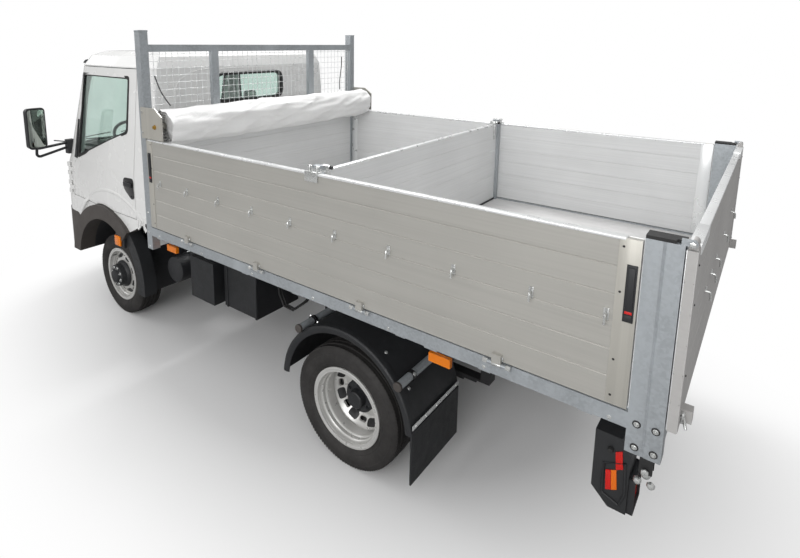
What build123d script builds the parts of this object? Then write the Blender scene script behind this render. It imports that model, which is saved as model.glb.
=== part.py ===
"""Light tipper truck with a dropside body, a mesh headboard and a rolled load cover.

Millimetres. +X points forwards, +Y to the truck's left, +Z up. The origin lies on the
ground, under the middle of the truck's length and width.
"""
from build123d import *
import os
from math import cos, hypot, pi, radians, sin, tan

# Overall sizes
WHEELBASE = 2500
FRONT_OVERHANG = 1060
REAR_OVERHANG = 1490
LENGTH = FRONT_OVERHANG + WHEELBASE + REAR_OVERHANG
FRONT_X = LENGTH / 2
REAR_X = -LENGTH / 2
REAR_AXLE_X = REAR_X + REAR_OVERHANG
FRONT_AXLE_X = REAR_AXLE_X + WHEELBASE
OVERRUN = 40
MOVING_GAP = 6
SEAT_GAP = 0.3
RUNNING_CLEARANCE = 0.05

# Wheels and tyres
TYRE_R = 335
TYRE_WIDTH = 190
TREAD_WIDTH = 150
SHOULDER_DROP = 9
RIM_WIDTH = 164
RIM_FLANGE_R = 220
RIM_FLANGE_THICKNESS = 7
BEAD_R = 203
RIM_WALL = 8
DISC_THICKNESS = 9
DISC_HOLE_R = 60
FRONT_WHEEL_Y = 745
REAR_OUTER_Y = 865
TWIN_SPACING = 215
SLOT_COUNT = 8
SLOT_LENGTH = 46
SLOT_WIDTH = 22
SLOT_CIRCLE_R = 158
FRONT_DISC_OFFSET = 30
FRONT_DISC_DISH = 26
HUB_R = 84
FRONT_HUB_PROUD = 52
FRONT_HUB_REACH = 70
HUB_CAP_R = 42
HUB_CAP_LENGTH = 38
REAR_HUB_LENGTH = 64
SPINDLE_R = 32

# Chassis
RAIL_OUTER_Y = 380
RAIL_WIDTH = 60
RAIL_WEB = 8
RAIL_BOTTOM_Z = 560
RAIL_TOP_Z = 740
RAIL_REAR_SETBACK = 250
RAIL_FRONT_SETBACK = 170
SUBFRAME_TOP_Z = 834
SUBFRAME_FRONT_REACH = 1430
SUBFRAME_FRONT_X = REAR_AXLE_X + SUBFRAME_FRONT_REACH
TUBE_R = 20

# Load body
BED_WIDTH = 2160
BED_SIDE_Y = BED_WIDTH / 2
LEVER_REACH = 32
TAILGATE_THICKNESS = 26
TAILGATE_OUTER_X = REAR_X + LEVER_REACH
TAILGATE_INNER_X = TAILGATE_OUTER_X + TAILGATE_THICKNESS
POST_REAR_X = TAILGATE_INNER_X + MOVING_GAP
POST_LENGTH = 107
POST_FRONT_X = POST_REAR_X + POST_LENGTH
POST_THICKNESS = 60
POST_BOTTOM_Z = 878
POST_TOP_Z = 1626
BOARD_THICKNESS = 25
BOARD_HEIGHT = 586
BOARD_LENGTH = 2860
BOARD_REAR_X = POST_FRONT_X + MOVING_GAP
BOARD_FRONT_X = BOARD_REAR_X + BOARD_LENGTH
SIDE_RAIL_WIDTH = 28
SIDE_RAIL_HEIGHT = 59
SIDE_RAIL_TOP_Z = 1020
SIDE_RAIL_BOTTOM_Z = SIDE_RAIL_TOP_Z - SIDE_RAIL_HEIGHT
BOARD_BOTTOM_Z = SIDE_RAIL_TOP_Z + MOVING_GAP
BOARD_TOP_Z = BOARD_BOTTOM_Z + BOARD_HEIGHT
FLOOR_TOP_Z = 1012
FLOOR_THICKNESS = 12
FLOOR_BOTTOM_Z = FLOOR_TOP_Z - FLOOR_THICKNESS
HEAD_POST_WIDTH = 56
HEAD_POST_DEPTH = 60
HEAD_POST_REAR_X = BOARD_FRONT_X + MOVING_GAP
HEAD_POST_FRONT_X = HEAD_POST_REAR_X + HEAD_POST_DEPTH
HEAD_POST_TOP_Z = 2305
HEAD_RAIL_TOP_Z = 2216
HEAD_RAIL_HEIGHT = 46
PARTITION_REACH = 100
PARTITION_X = REAR_AXLE_X + PARTITION_REACH

# Cab
CAB_BACK_REACH = 1775
CAB_BACK_X = REAR_AXLE_X + CAB_BACK_REACH
CAB_FRONT_SETBACK = 25
CAB_FRONT_X = FRONT_X - CAB_FRONT_SETBACK
CAB_WALL = 45
CAB_BOTTOM_Z = 780
CAB_TOP_Z = 2165
ROOF_SPLIT_Z = 2046
ARCH_CENTRE_Z = 400
FLARE_INNER_R = 435
FLARE_OUTER_R = 550
FLARE_INNER_Y = 830
FLARE_OUTER_Y = 955

# Hinge of the tipping body and its lifting cylinder
TIP_SETBACK = 1250
TIP_X = REAR_AXLE_X - TIP_SETBACK
TIP_Z = 868
TIP_PIN_R = 20
RAM_REACH = 450
RAM_X = REAR_AXLE_X + RAM_REACH
RAM_PIVOT_Z = 700
RAM_BALL_Z = 925
RAM_BALL_R = 26
RAM_STAGES = 4


def block(x, y, z, mode=Mode.ADD):
    """Adds a box between two places along each axis."""
    with Locations(((x[0] + x[1]) / 2, (y[0] + y[1]) / 2, (z[0] + z[1]) / 2)):
        Box(x[1] - x[0], y[1] - y[0], z[1] - z[0], mode=mode)


def both_sides():
    """Repeats the part so far on the truck's other side."""
    mirror(about=Plane.XZ)


def rod_y(x, y, z, radius, mode=Mode.ADD):
    """Adds a round bar across the truck, between two places along Y."""
    with Locations((x, (y[0] + y[1]) / 2, z)):
        Cylinder(radius, abs(y[1] - y[0]), rotation=(90, 0, 0), mode=mode)


def rod_x(x, y, z, radius, mode=Mode.ADD):
    """Adds a round bar along the truck, between two places along X."""
    with Locations(((x[0] + x[1]) / 2, y, z)):
        Cylinder(radius, x[1] - x[0], rotation=(0, 90, 0), mode=mode)


def rod_z(x, y, z, radius, mode=Mode.ADD):
    """Adds an upright round bar between two heights."""
    with Locations((x, y, (z[0] + z[1]) / 2)):
        Cylinder(radius, z[1] - z[0], mode=mode)


def save(piece, label):
    """Names a finished piece and writes it."""
    piece.part.label = label
    export_step(piece.part, f"parts/{label}.step")


os.makedirs("parts", exist_ok=True)


# Wheels

def tyre_ring(axle_x, centre_y):
    """Adds one tyre: a ring with round sidewalls and a flat tread."""
    bead = RIM_WIDTH / 2 - RIM_FLANGE_THICKNESS
    half_tread = TREAD_WIDTH / 2
    half_width = TYRE_WIDTH / 2
    shoulder = TYRE_R - SHOULDER_DROP
    bulge = (BEAD_R + TYRE_R) / 2
    with BuildSketch(Plane(origin=(axle_x, centre_y, TYRE_R), x_dir=(0, 1, 0), z_dir=(1, 0, 0))) as profile:
        with BuildLine():
            Line((-bead, BEAD_R), (bead, BEAD_R))
            Line((bead, BEAD_R), (bead, RIM_FLANGE_R))
            ThreePointArc((bead, RIM_FLANGE_R), (half_width, bulge), (half_tread, shoulder))
            ThreePointArc((half_tread, shoulder), (0, TYRE_R), (-half_tread, shoulder))
            ThreePointArc((-half_tread, shoulder), (-half_width, bulge), (-bead, RIM_FLANGE_R))
            Line((-bead, RIM_FLANGE_R), (-bead, BEAD_R))
        make_face()
    revolve(profile.sketch, axis=Axis((axle_x, centre_y, TYRE_R), (0, 1, 0)))


def rim_ring(axle_x, centre_y, disc_points):
    """Adds one steel rim: a barrel with two flanges, and a disc that disc_points outline."""
    half = RIM_WIDTH / 2
    bead = half - RIM_FLANGE_THICKNESS
    inner = BEAD_R - RIM_WALL
    with BuildSketch(Plane(origin=(axle_x, centre_y, TYRE_R), x_dir=(0, 1, 0), z_dir=(1, 0, 0))) as profile:
        with BuildLine():
            Polyline((-half, inner), (half, inner), (half, RIM_FLANGE_R), (bead, RIM_FLANGE_R),
                     (bead, BEAD_R), (-bead, BEAD_R), (-bead, RIM_FLANGE_R), (-half, RIM_FLANGE_R),
                     close=True)
        make_face()
        with BuildLine():
            Polyline(*disc_points, close=True)
        make_face()
    revolve(profile.sketch, axis=Axis((axle_x, centre_y, TYRE_R), (0, 1, 0)))


def rim_slots(axle_x, y):
    """Cuts the oval hand holes through a disc, between two places along Y."""
    with BuildSketch(Plane(origin=(axle_x, y[1], TYRE_R), x_dir=(1, 0, 0), z_dir=(0, 1, 0))) as slots:
        with PolarLocations(SLOT_CIRCLE_R, SLOT_COUNT):
            SlotOverall(SLOT_LENGTH, SLOT_WIDTH, rotation=90)
    extrude(slots.sketch, amount=y[0] - y[1], mode=Mode.SUBTRACT)


def front_rim(side):
    """Makes a front rim, its dished disc and its hub; side is 1 for left and -1 for right."""
    centre = side * FRONT_WHEEL_Y
    inner = BEAD_R - RIM_WALL
    face = FRONT_DISC_OFFSET + FRONT_DISC_DISH
    crown_r = SLOT_CIRCLE_R - SLOT_WIDTH
    disc = [(FRONT_DISC_OFFSET, inner), (FRONT_DISC_OFFSET, SLOT_CIRCLE_R + SLOT_WIDTH), (face, crown_r),
            (face, DISC_HOLE_R), (face - DISC_THICKNESS, DISC_HOLE_R), (face - DISC_THICKNESS, crown_r),
            (FRONT_DISC_OFFSET - DISC_THICKNESS, SLOT_CIRCLE_R + SLOT_WIDTH),
            (FRONT_DISC_OFFSET - DISC_THICKNESS, inner)]
    with BuildPart() as rim:
        rim_ring(FRONT_AXLE_X, centre, [(side * w, r) for w, r in disc])
        rim_slots(FRONT_AXLE_X, (centre - RIM_WIDTH / 2, centre + RIM_WIDTH / 2))
        hub_inner = centre + side * (face - DISC_THICKNESS - FRONT_HUB_PROUD)
        hub_outer = centre + side * (face + FRONT_HUB_REACH)
        rod_y(FRONT_AXLE_X, (hub_inner, hub_outer), TYRE_R, HUB_R)
        rod_y(FRONT_AXLE_X, (hub_outer, hub_outer + side * HUB_CAP_LENGTH / 2), TYRE_R, HUB_CAP_R)
        rod_y(FRONT_AXLE_X, (hub_inner, centre + side * face), TYRE_R, SPINDLE_R + RUNNING_CLEARANCE,
              Mode.SUBTRACT)
    return rim


def rear_rims(side):
    """Makes a pair of twin rims, their dished discs back to back, and their hub."""
    outer = side * REAR_OUTER_Y
    inner_y = side * (REAR_OUTER_Y - TWIN_SPACING)
    mount = TWIN_SPACING / 2
    barrel = BEAD_R - RIM_WALL
    waist_r = SLOT_CIRCLE_R - SLOT_WIDTH
    rise = RIM_WIDTH / 4
    disc = [(-rise, barrel), (-mount + DISC_THICKNESS, waist_r), (-mount + DISC_THICKNESS, DISC_HOLE_R),
            (-mount, DISC_HOLE_R), (-mount, waist_r), (-rise - DISC_THICKNESS - RIM_WALL, barrel)]
    with BuildPart() as rims:
        rim_ring(REAR_AXLE_X, outer, [(side * w, r) for w, r in disc])
        rim_ring(REAR_AXLE_X, inner_y, [(-side * w, r) for w, r in disc])
        low = min(inner_y, outer) - RIM_WIDTH / 2
        high = max(inner_y, outer) + RIM_WIDTH / 2
        rim_slots(REAR_AXLE_X, (low, high))
        face = outer - side * mount
        rod_y(REAR_AXLE_X, (face - side * REAR_HUB_LENGTH, face + side * REAR_HUB_LENGTH), TYRE_R, HUB_R)
        cap = face + side * (REAR_HUB_LENGTH + HUB_CAP_LENGTH)
        rod_y(REAR_AXLE_X, (face + side * REAR_HUB_LENGTH, cap), TYRE_R, HUB_CAP_R)
        rod_y(REAR_AXLE_X, (face - side * REAR_HUB_LENGTH, face + side * REAR_HUB_LENGTH / 2), TYRE_R,
              SPINDLE_R + RUNNING_CLEARANCE, Mode.SUBTRACT)
    return rims


SIDES = (("left", 1), ("right", -1))
for side_name, side_sign in SIDES:
    with BuildPart() as front_tyre:
        tyre_ring(FRONT_AXLE_X, side_sign * FRONT_WHEEL_Y)
    save(front_tyre, f"tyre_front_{side_name}")
    with BuildPart() as rear_tyres:
        tyre_ring(REAR_AXLE_X, side_sign * REAR_OUTER_Y)
        tyre_ring(REAR_AXLE_X, side_sign * (REAR_OUTER_Y - TWIN_SPACING))
    save(rear_tyres, f"tyres_rear_{side_name}")
    save(front_rim(side_sign), f"rim_front_{side_name}")
    save(rear_rims(side_sign), f"rims_rear_{side_name}")


# Chassis frame: two channel rails and their cross-members

RAIL_INNER_Y = RAIL_OUTER_Y - RAIL_WIDTH
RAIL_MID_Y = (RAIL_OUTER_Y + RAIL_INNER_Y) / 2
RAIL_REAR_X = REAR_X + RAIL_REAR_SETBACK
RAIL_FRONT_X = FRONT_X - RAIL_FRONT_SETBACK
CROSS_WIDTH = 70
CROSS_HEIGHT = 90
CROSS_REACHES = (-520, 720, 1350)
CROSS_PLACES = [RAIL_REAR_X + CROSS_WIDTH, RAIL_FRONT_X - CROSS_WIDTH]
CROSS_PLACES += [REAR_AXLE_X + reach for reach in CROSS_REACHES]

ENGINE_WIDTH = 560
ENGINE_MOUNT = 80

with BuildPart() as chassis_frame:
    block((RAIL_REAR_X, RAIL_FRONT_X), (RAIL_INNER_Y, RAIL_OUTER_Y), (RAIL_BOTTOM_Z, RAIL_TOP_Z))
    block((RAIL_REAR_X - OVERRUN, RAIL_FRONT_X + OVERRUN), (RAIL_INNER_Y - OVERRUN, RAIL_OUTER_Y - RAIL_WEB),
          (RAIL_BOTTOM_Z + RAIL_WEB, RAIL_TOP_Z - RAIL_WEB), Mode.SUBTRACT)
    block((FRONT_AXLE_X - ENGINE_MOUNT / 2, FRONT_AXLE_X + ENGINE_MOUNT / 2),
          (ENGINE_WIDTH / 2 + SEAT_GAP, RAIL_OUTER_Y - RAIL_WEB / 2),
          (RAIL_BOTTOM_Z + RAIL_WEB, RAIL_BOTTOM_Z + ENGINE_MOUNT))
    both_sides()
    cross_mid_z = (RAIL_BOTTOM_Z + RAIL_TOP_Z) / 2
    for cross_x in CROSS_PLACES:
        block((cross_x - CROSS_WIDTH / 2, cross_x + CROSS_WIDTH / 2),
              (RAIL_WEB - RAIL_OUTER_Y, RAIL_OUTER_Y - RAIL_WEB),
              (cross_mid_z - CROSS_HEIGHT / 2, cross_mid_z + CROSS_HEIGHT / 2))
save(chassis_frame, "chassis_frame")


# Subframe of the tipper, with the rear pivot blocks and the cylinder's cradle

PIVOT_EAR_INNER_Y = 440
PIVOT_EAR_THICKNESS = 22
PIVOT_EAR_OUTER_Y = PIVOT_EAR_INNER_Y + PIVOT_EAR_THICKNESS
PIVOT_EAR_R = 42
CRADLE_Y = 112
CRADLE_THICKNESS = 16
CRADLE_REACH = 135
CRADLE_PLATE_HALF = 60
TRUNNION_R = 22
CRADLE_BEAM = 50
SUBFRAME_REAR_X = TIP_X - PIVOT_EAR_R

with BuildPart() as subframe:
    block((SUBFRAME_REAR_X, SUBFRAME_FRONT_X), (RAIL_INNER_Y, RAIL_OUTER_Y), (RAIL_TOP_Z, SUBFRAME_TOP_Z))
    both_sides()
    for cross_x in (SUBFRAME_REAR_X + CROSS_WIDTH, SUBFRAME_FRONT_X - CROSS_WIDTH):
        block((cross_x - CROSS_WIDTH / 2, cross_x + CROSS_WIDTH / 2), (-RAIL_INNER_Y, RAIL_INNER_Y),
              (RAIL_TOP_Z, SUBFRAME_TOP_Z))
    for sign in (1, -1):
        beam_x = RAM_X + sign * (CRADLE_REACH + CRADLE_BEAM / 2)
        block((beam_x - CRADLE_BEAM / 2, beam_x + CRADLE_BEAM / 2), (-RAIL_INNER_Y, RAIL_INNER_Y),
              (RAIL_TOP_Z, RAIL_TOP_Z + CRADLE_BEAM))
        near, far = sorted((sign * CRADLE_Y, sign * (CRADLE_Y + CRADLE_THICKNESS)))
        block((RAM_X - CRADLE_REACH - CRADLE_BEAM, RAM_X + CRADLE_REACH + CRADLE_BEAM), (near, far),
              (RAM_PIVOT_Z - CRADLE_PLATE_HALF, RAIL_TOP_Z + CRADLE_BEAM))
    cradle_end = CRADLE_Y + CRADLE_THICKNESS + OVERRUN
    rod_y(RAM_X, (-cradle_end, cradle_end), RAM_PIVOT_Z, TRUNNION_R + RUNNING_CLEARANCE, Mode.SUBTRACT)
    for sign in (1, -1):
        low, high = sorted((sign * PIVOT_EAR_INNER_Y, sign * PIVOT_EAR_OUTER_Y))
        near, far = sorted((sign * RAIL_INNER_Y, sign * PIVOT_EAR_OUTER_Y))
        block((TIP_X - PIVOT_EAR_R, TIP_X + PIVOT_EAR_R), (near, far),
              (RAIL_TOP_Z, RAIL_TOP_Z + PIVOT_EAR_THICKNESS))
        block((TIP_X - PIVOT_EAR_R, TIP_X + PIVOT_EAR_R), (low, high), (RAIL_TOP_Z, TIP_Z))
        rod_y(TIP_X, (low, high), TIP_Z, PIVOT_EAR_R)
        rod_y(TIP_X, (low - OVERRUN, high + OVERRUN), TIP_Z, TIP_PIN_R + RUNNING_CLEARANCE, Mode.SUBTRACT)
save(subframe, "tipper_subframe")


# Front axle beam, knuckles, rear axle and springs

KING_PIN_Y = 670
KING_PIN_R = 16
BEAM_HALF_HEIGHT = 36
BEAM_HALF_WIDTH = 38
BEAM_EYE_R = 34
LUG_HEIGHT = 20
AXLE_TUBE_R = 52
DIFFERENTIAL_R = 150
DIFFERENTIAL_LENGTH = 260
DIFFERENTIAL_ROUND = 60
SPRING_WIDTH = 60
SPRING_CENTRE_Y = 422
SPRING_LENGTH = 1150
SPRING_LEAF = 12
SPRING_LEAVES = 5
FRONT_SPRING_LEAVES = 3
LEAF_STEP_SHARE = 0.13
SPRING_SEAT_HEIGHT = 14
SPRING_SEAT_Z = TYRE_R + AXLE_TUBE_R + SPRING_SEAT_HEIGHT

REAR_SPINDLE_ROOT_Y = REAR_OUTER_Y - TWIN_SPACING / 2 - REAR_HUB_LENGTH - MOVING_GAP
with BuildPart() as axles:
    rod_y(REAR_AXLE_X, (-REAR_SPINDLE_ROOT_Y, REAR_SPINDLE_ROOT_Y), TYRE_R, AXLE_TUBE_R)
    rod_y(REAR_AXLE_X, (-DIFFERENTIAL_LENGTH / 2, DIFFERENTIAL_LENGTH / 2), TYRE_R, DIFFERENTIAL_R)
    housing_edges = axles.edges().filter_by(GeomType.CIRCLE).filter_by(lambda e: e.radius > AXLE_TUBE_R * 2)
    fillet(housing_edges, DIFFERENTIAL_ROUND)
    spindle_end = REAR_OUTER_Y - TWIN_SPACING / 2 + REAR_HUB_LENGTH / 4
    rod_y(REAR_AXLE_X, (-spindle_end, spindle_end), TYRE_R, SPINDLE_R)
    block((FRONT_AXLE_X - BEAM_HALF_WIDTH, FRONT_AXLE_X + BEAM_HALF_WIDTH), (-KING_PIN_Y, KING_PIN_Y),
          (TYRE_R - BEAM_HALF_HEIGHT, TYRE_R + BEAM_HALF_HEIGHT))
    for sign in (1, -1):
        eye_z = (TYRE_R - BEAM_HALF_HEIGHT, TYRE_R + BEAM_HALF_HEIGHT)
        rod_z(FRONT_AXLE_X, sign * KING_PIN_Y, eye_z, BEAM_EYE_R)
        rod_z(FRONT_AXLE_X, sign * KING_PIN_Y, eye_z, KING_PIN_R + RUNNING_CLEARANCE, Mode.SUBTRACT)
save(axles, "axles")

KNUCKLE_FACE_Y = KING_PIN_Y + BEAM_EYE_R + MOVING_GAP + BEAM_HALF_WIDTH / 2
for side_name, side_sign in SIDES:
    with BuildPart() as knuckle:
        lug_low = TYRE_R - BEAM_HALF_HEIGHT - MOVING_GAP
        lug_high = TYRE_R + BEAM_HALF_HEIGHT + MOVING_GAP
        near, far = sorted((side_sign * KING_PIN_Y, side_sign * (KNUCKLE_FACE_Y + RIM_WALL)))
        for low, high in ((lug_low - LUG_HEIGHT, lug_low), (lug_high, lug_high + LUG_HEIGHT)):
            rod_z(FRONT_AXLE_X, side_sign * KING_PIN_Y, (low, high), BEAM_EYE_R)
            block((FRONT_AXLE_X - BEAM_EYE_R, FRONT_AXLE_X + BEAM_EYE_R), (near, far), (low, high))
        rod_z(FRONT_AXLE_X, side_sign * KING_PIN_Y, (lug_low - LUG_HEIGHT, lug_high + LUG_HEIGHT), KING_PIN_R)
        web_near = side_sign * (KING_PIN_Y + BEAM_EYE_R + MOVING_GAP)
        web_far = side_sign * (KNUCKLE_FACE_Y + RIM_WALL)
        block((FRONT_AXLE_X - BEAM_EYE_R, FRONT_AXLE_X + BEAM_EYE_R), sorted((web_near, web_far)),
              (lug_low - LUG_HEIGHT, lug_high + LUG_HEIGHT))
        tip = side_sign * (FRONT_WHEEL_Y + FRONT_DISC_OFFSET)
        rod_y(FRONT_AXLE_X, (side_sign * KNUCKLE_FACE_Y, tip), TYRE_R, SPINDLE_R)
    save(knuckle, f"knuckle_{side_name}")


def leaf_pack(axle_x, leaves, seat_z, length):
    """Adds a pack of leaves, each shorter than the one above, under both rails."""
    for leaf in range(leaves):
        half = length / 2 * (1 - LEAF_STEP_SHARE * (leaves - 1 - leaf))
        low = seat_z + leaf * SPRING_LEAF
        block((axle_x - half, axle_x + half),
              (SPRING_CENTRE_Y - SPRING_WIDTH / 2, SPRING_CENTRE_Y + SPRING_WIDTH / 2),
              (low, low + SPRING_LEAF))


HANGER_WIDTH = 50
with BuildPart() as springs:
    leaf_pack(REAR_AXLE_X, SPRING_LEAVES, SPRING_SEAT_Z, SPRING_LENGTH)
    leaf_pack(FRONT_AXLE_X, FRONT_SPRING_LEAVES, TYRE_R + BEAM_HALF_HEIGHT + SEAT_GAP, SPRING_LENGTH)
    for axle_x, top in ((REAR_AXLE_X, SPRING_SEAT_Z + SPRING_LEAVES * SPRING_LEAF),
                        (FRONT_AXLE_X, TYRE_R + BEAM_HALF_HEIGHT + FRONT_SPRING_LEAVES * SPRING_LEAF)):
        for sign in (1, -1):
            end = axle_x + sign * (SPRING_LENGTH / 2 - HANGER_WIDTH / 2)
            block((end - HANGER_WIDTH / 2, end + HANGER_WIDTH / 2),
                  (RAIL_OUTER_Y, SPRING_CENTRE_Y + SPRING_WIDTH / 2),
                  (top - SPRING_LEAF, RAIL_BOTTOM_Z + HANGER_WIDTH))
    rear_saddle = (TYRE_R, SPRING_SEAT_Z)
    block((REAR_AXLE_X - AXLE_TUBE_R, REAR_AXLE_X + AXLE_TUBE_R),
          (SPRING_CENTRE_Y - SPRING_WIDTH / 2, SPRING_CENTRE_Y + SPRING_WIDTH / 2), rear_saddle)
    rod_y(REAR_AXLE_X, (0, REAR_SPINDLE_ROOT_Y), TYRE_R, AXLE_TUBE_R + SEAT_GAP, Mode.SUBTRACT)
    both_sides()
save(springs, "leaf_springs")


# Engine, gearbox and propeller shaft

ENGINE_LENGTH = 700
ENGINE_BOTTOM_Z = 450
ENGINE_TOP_Z = 850
GEARBOX_LENGTH = 520
GEARBOX_R = 120
SHAFT_R = 34
SHAFT_FRONT_Z = 480
ENGINE_REAR_X = FRONT_AXLE_X - ENGINE_LENGTH / 2

GEARBOX_REAR_X = ENGINE_REAR_X - GEARBOX_LENGTH
SHAFT_REAR_X = REAR_AXLE_X + DIFFERENTIAL_R + MOVING_GAP
shaft_run = GEARBOX_REAR_X - SHAFT_REAR_X
shaft_rise = SHAFT_FRONT_Z - TYRE_R
with BuildPart() as driveline:
    block((ENGINE_REAR_X, ENGINE_REAR_X + ENGINE_LENGTH), (-ENGINE_WIDTH / 2, ENGINE_WIDTH / 2),
          (ENGINE_BOTTOM_Z, ENGINE_TOP_Z))
    rod_x((GEARBOX_REAR_X, ENGINE_REAR_X), 0, SHAFT_FRONT_Z + GEARBOX_R / 4, GEARBOX_R)
    with BuildSketch(Plane(origin=(SHAFT_REAR_X, 0, TYRE_R), z_dir=(shaft_run, 0, shaft_rise))):
        Circle(SHAFT_R)
    extrude(amount=hypot(shaft_run, shaft_rise))
save(driveline, "engine_and_driveline")


# Tank, battery box and air vessel outside the rails

TANK_FRONT_REACH = 1900
TANK_FRONT_X = REAR_AXLE_X + TANK_FRONT_REACH
TANK_LENGTH = 640
TANK_WIDTH = 380
TANK_BOTTOM_Z = 400
TANK_TOP_Z = 700
TANK_CORNER_R = 50
BATTERY_LENGTH = 330
BATTERY_GAP = 40
FILTER_R = 95
FILTER_LENGTH = 260
UNIT_BRACKET = 60

with BuildPart() as underbody_units:
    tank_rear = TANK_FRONT_X - TANK_LENGTH
    with BuildSketch(Plane.YZ.offset(tank_rear)):
        with Locations((-RAIL_OUTER_Y - TANK_WIDTH / 2, (TANK_BOTTOM_Z + TANK_TOP_Z) / 2)):
            RectangleRounded(TANK_WIDTH, TANK_TOP_Z - TANK_BOTTOM_Z, TANK_CORNER_R)
    extrude(amount=TANK_LENGTH)
    battery_front = tank_rear - BATTERY_GAP
    block((battery_front - BATTERY_LENGTH, battery_front), (RAIL_OUTER_Y, RAIL_OUTER_Y + TANK_WIDTH),
          (TANK_BOTTOM_Z + TANK_CORNER_R, TANK_TOP_Z + TANK_CORNER_R))
    unit_y = (RAIL_OUTER_Y, RAIL_OUTER_Y + TANK_WIDTH + UNIT_BRACKET)
    rod_y(TANK_FRONT_X - FILTER_R * 2, unit_y, TANK_BOTTOM_Z + FILTER_R * 2, FILTER_R)
    block((tank_rear, tank_rear + FILTER_LENGTH), unit_y,
          (TANK_BOTTOM_Z + TANK_CORNER_R, TANK_TOP_Z + TANK_CORNER_R))
save(underbody_units, "tank_and_boxes")


# Mudguards, their tubes and the flaps

MUDGUARD_CENTRE_SETBACK = 20
MUDGUARD_CENTRE_X = REAR_AXLE_X - MUDGUARD_CENTRE_SETBACK
MUDGUARD_CENTRE_Z = 385
MUDGUARD_R = 415
MUDGUARD_SKIN = 8
MUDGUARD_OUTER_Y = 1000
MUDGUARD_INNER_Y = 540
MUDGUARD_LOW_Z = 420
FLAP_THICKNESS = 8
FLAP_BOTTOM_Z = 165
TUBE_ANGLES = (50, 142)
LINER_SKIN = 6
LINER_INNER_Y = 500

with BuildPart() as rear_mudguards:
    with BuildSketch(Plane.XZ.offset(-MUDGUARD_INNER_Y)):
        with Locations((MUDGUARD_CENTRE_X, MUDGUARD_CENTRE_Z)):
            Circle(MUDGUARD_R + MUDGUARD_SKIN)
            Circle(MUDGUARD_R, mode=Mode.SUBTRACT)
        with Locations((MUDGUARD_CENTRE_X, MUDGUARD_LOW_Z - TYRE_R)):
            Rectangle(4 * TYRE_R, 2 * TYRE_R, mode=Mode.SUBTRACT)
    extrude(amount=MUDGUARD_INNER_Y - MUDGUARD_OUTER_Y)
    flap_x = MUDGUARD_CENTRE_X - MUDGUARD_R - MUDGUARD_SKIN
    block((flap_x, flap_x + FLAP_THICKNESS), (MUDGUARD_INNER_Y, MUDGUARD_OUTER_Y),
          (FLAP_BOTTOM_Z, MUDGUARD_LOW_Z + TUBE_R))
    both_sides()
save(rear_mudguards, "rear_mudguards_and_flaps")

tube_path_r = MUDGUARD_R + MUDGUARD_SKIN + TUBE_R + SEAT_GAP
with BuildPart() as mudguard_tubes:
    for angle in TUBE_ANGLES:
        tube_x = MUDGUARD_CENTRE_X + tube_path_r * cos(radians(angle))
        tube_z = MUDGUARD_CENTRE_Z + tube_path_r * sin(radians(angle))
        rod_y(tube_x, (RAIL_OUTER_Y, MUDGUARD_OUTER_Y + TUBE_R), tube_z, TUBE_R)
    both_sides()
save(mudguard_tubes, "mudguard_tubes")


# Tail lamps on the underrun bar

UNDERRUN_REACH = 215
UNDERRUN_X = REAR_X + UNDERRUN_REACH
UNDERRUN_HALF_Y = 860
UNDERRUN_Z = 590
UNDERRUN_HEIGHT = 90
UNDERRUN_DEPTH = 50
LAMP_WIDTH = 130
LAMP_DEPTH = 120
LAMP_BOTTOM_Z = 560
LAMP_HEIGHT = 290
LAMP_BEVEL = 60
LENS_HEIGHT = 130
LENS_DEPTH = 12
with BuildPart() as underrun:
    block((UNDERRUN_X - UNDERRUN_DEPTH / 2, UNDERRUN_X + UNDERRUN_DEPTH / 2),
          (-UNDERRUN_HALF_Y, UNDERRUN_HALF_Y),
          (UNDERRUN_Z - UNDERRUN_HEIGHT / 2, UNDERRUN_Z + UNDERRUN_HEIGHT / 2))
    for sign in (1, -1):
        low, high = sorted((sign * RAIL_OUTER_Y, sign * (RAIL_OUTER_Y + RAIL_WEB * 2)))
        block((UNDERRUN_X - UNDERRUN_DEPTH / 2, UNDERRUN_X + CROSS_WIDTH * 2), (low, high),
              (UNDERRUN_Z, RAIL_TOP_Z - RAIL_WEB))
        low, high = sorted((sign * UNDERRUN_HALF_Y, sign * (UNDERRUN_HALF_Y + LAMP_WIDTH)))
        with BuildSketch(Plane.XZ.offset(-high)):
            with BuildLine():
                rear = UNDERRUN_X - UNDERRUN_DEPTH / 2 - LAMP_BEVEL / 2
                front = rear + LAMP_DEPTH
                top = LAMP_BOTTOM_Z + LAMP_HEIGHT
                Polyline((rear, LAMP_BOTTOM_Z), (front - LAMP_BEVEL, LAMP_BOTTOM_Z),
                         (front, LAMP_BOTTOM_Z + LAMP_BEVEL), (front, top), (rear + LAMP_BEVEL / 2, top),
                         (rear, top - LAMP_BEVEL), close=True)
            make_face()
        extrude(amount=high - low)
save(underrun, "underrun_and_lamp_boxes")

lamp_rear_x = UNDERRUN_X - UNDERRUN_DEPTH / 2 - LAMP_BEVEL / 2
with BuildPart() as tail_lenses:
    block((lamp_rear_x - LENS_DEPTH, lamp_rear_x),
          (UNDERRUN_HALF_Y + LENS_DEPTH, UNDERRUN_HALF_Y + LAMP_WIDTH - LENS_DEPTH),
          (LAMP_BOTTOM_Z + LENS_DEPTH, LAMP_BOTTOM_Z + LENS_DEPTH + LENS_HEIGHT))
    both_sides()
save(tail_lenses, "tail_lamp_lenses")


# Amber side markers, two on each side, carried by brackets under the body's side rails

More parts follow.
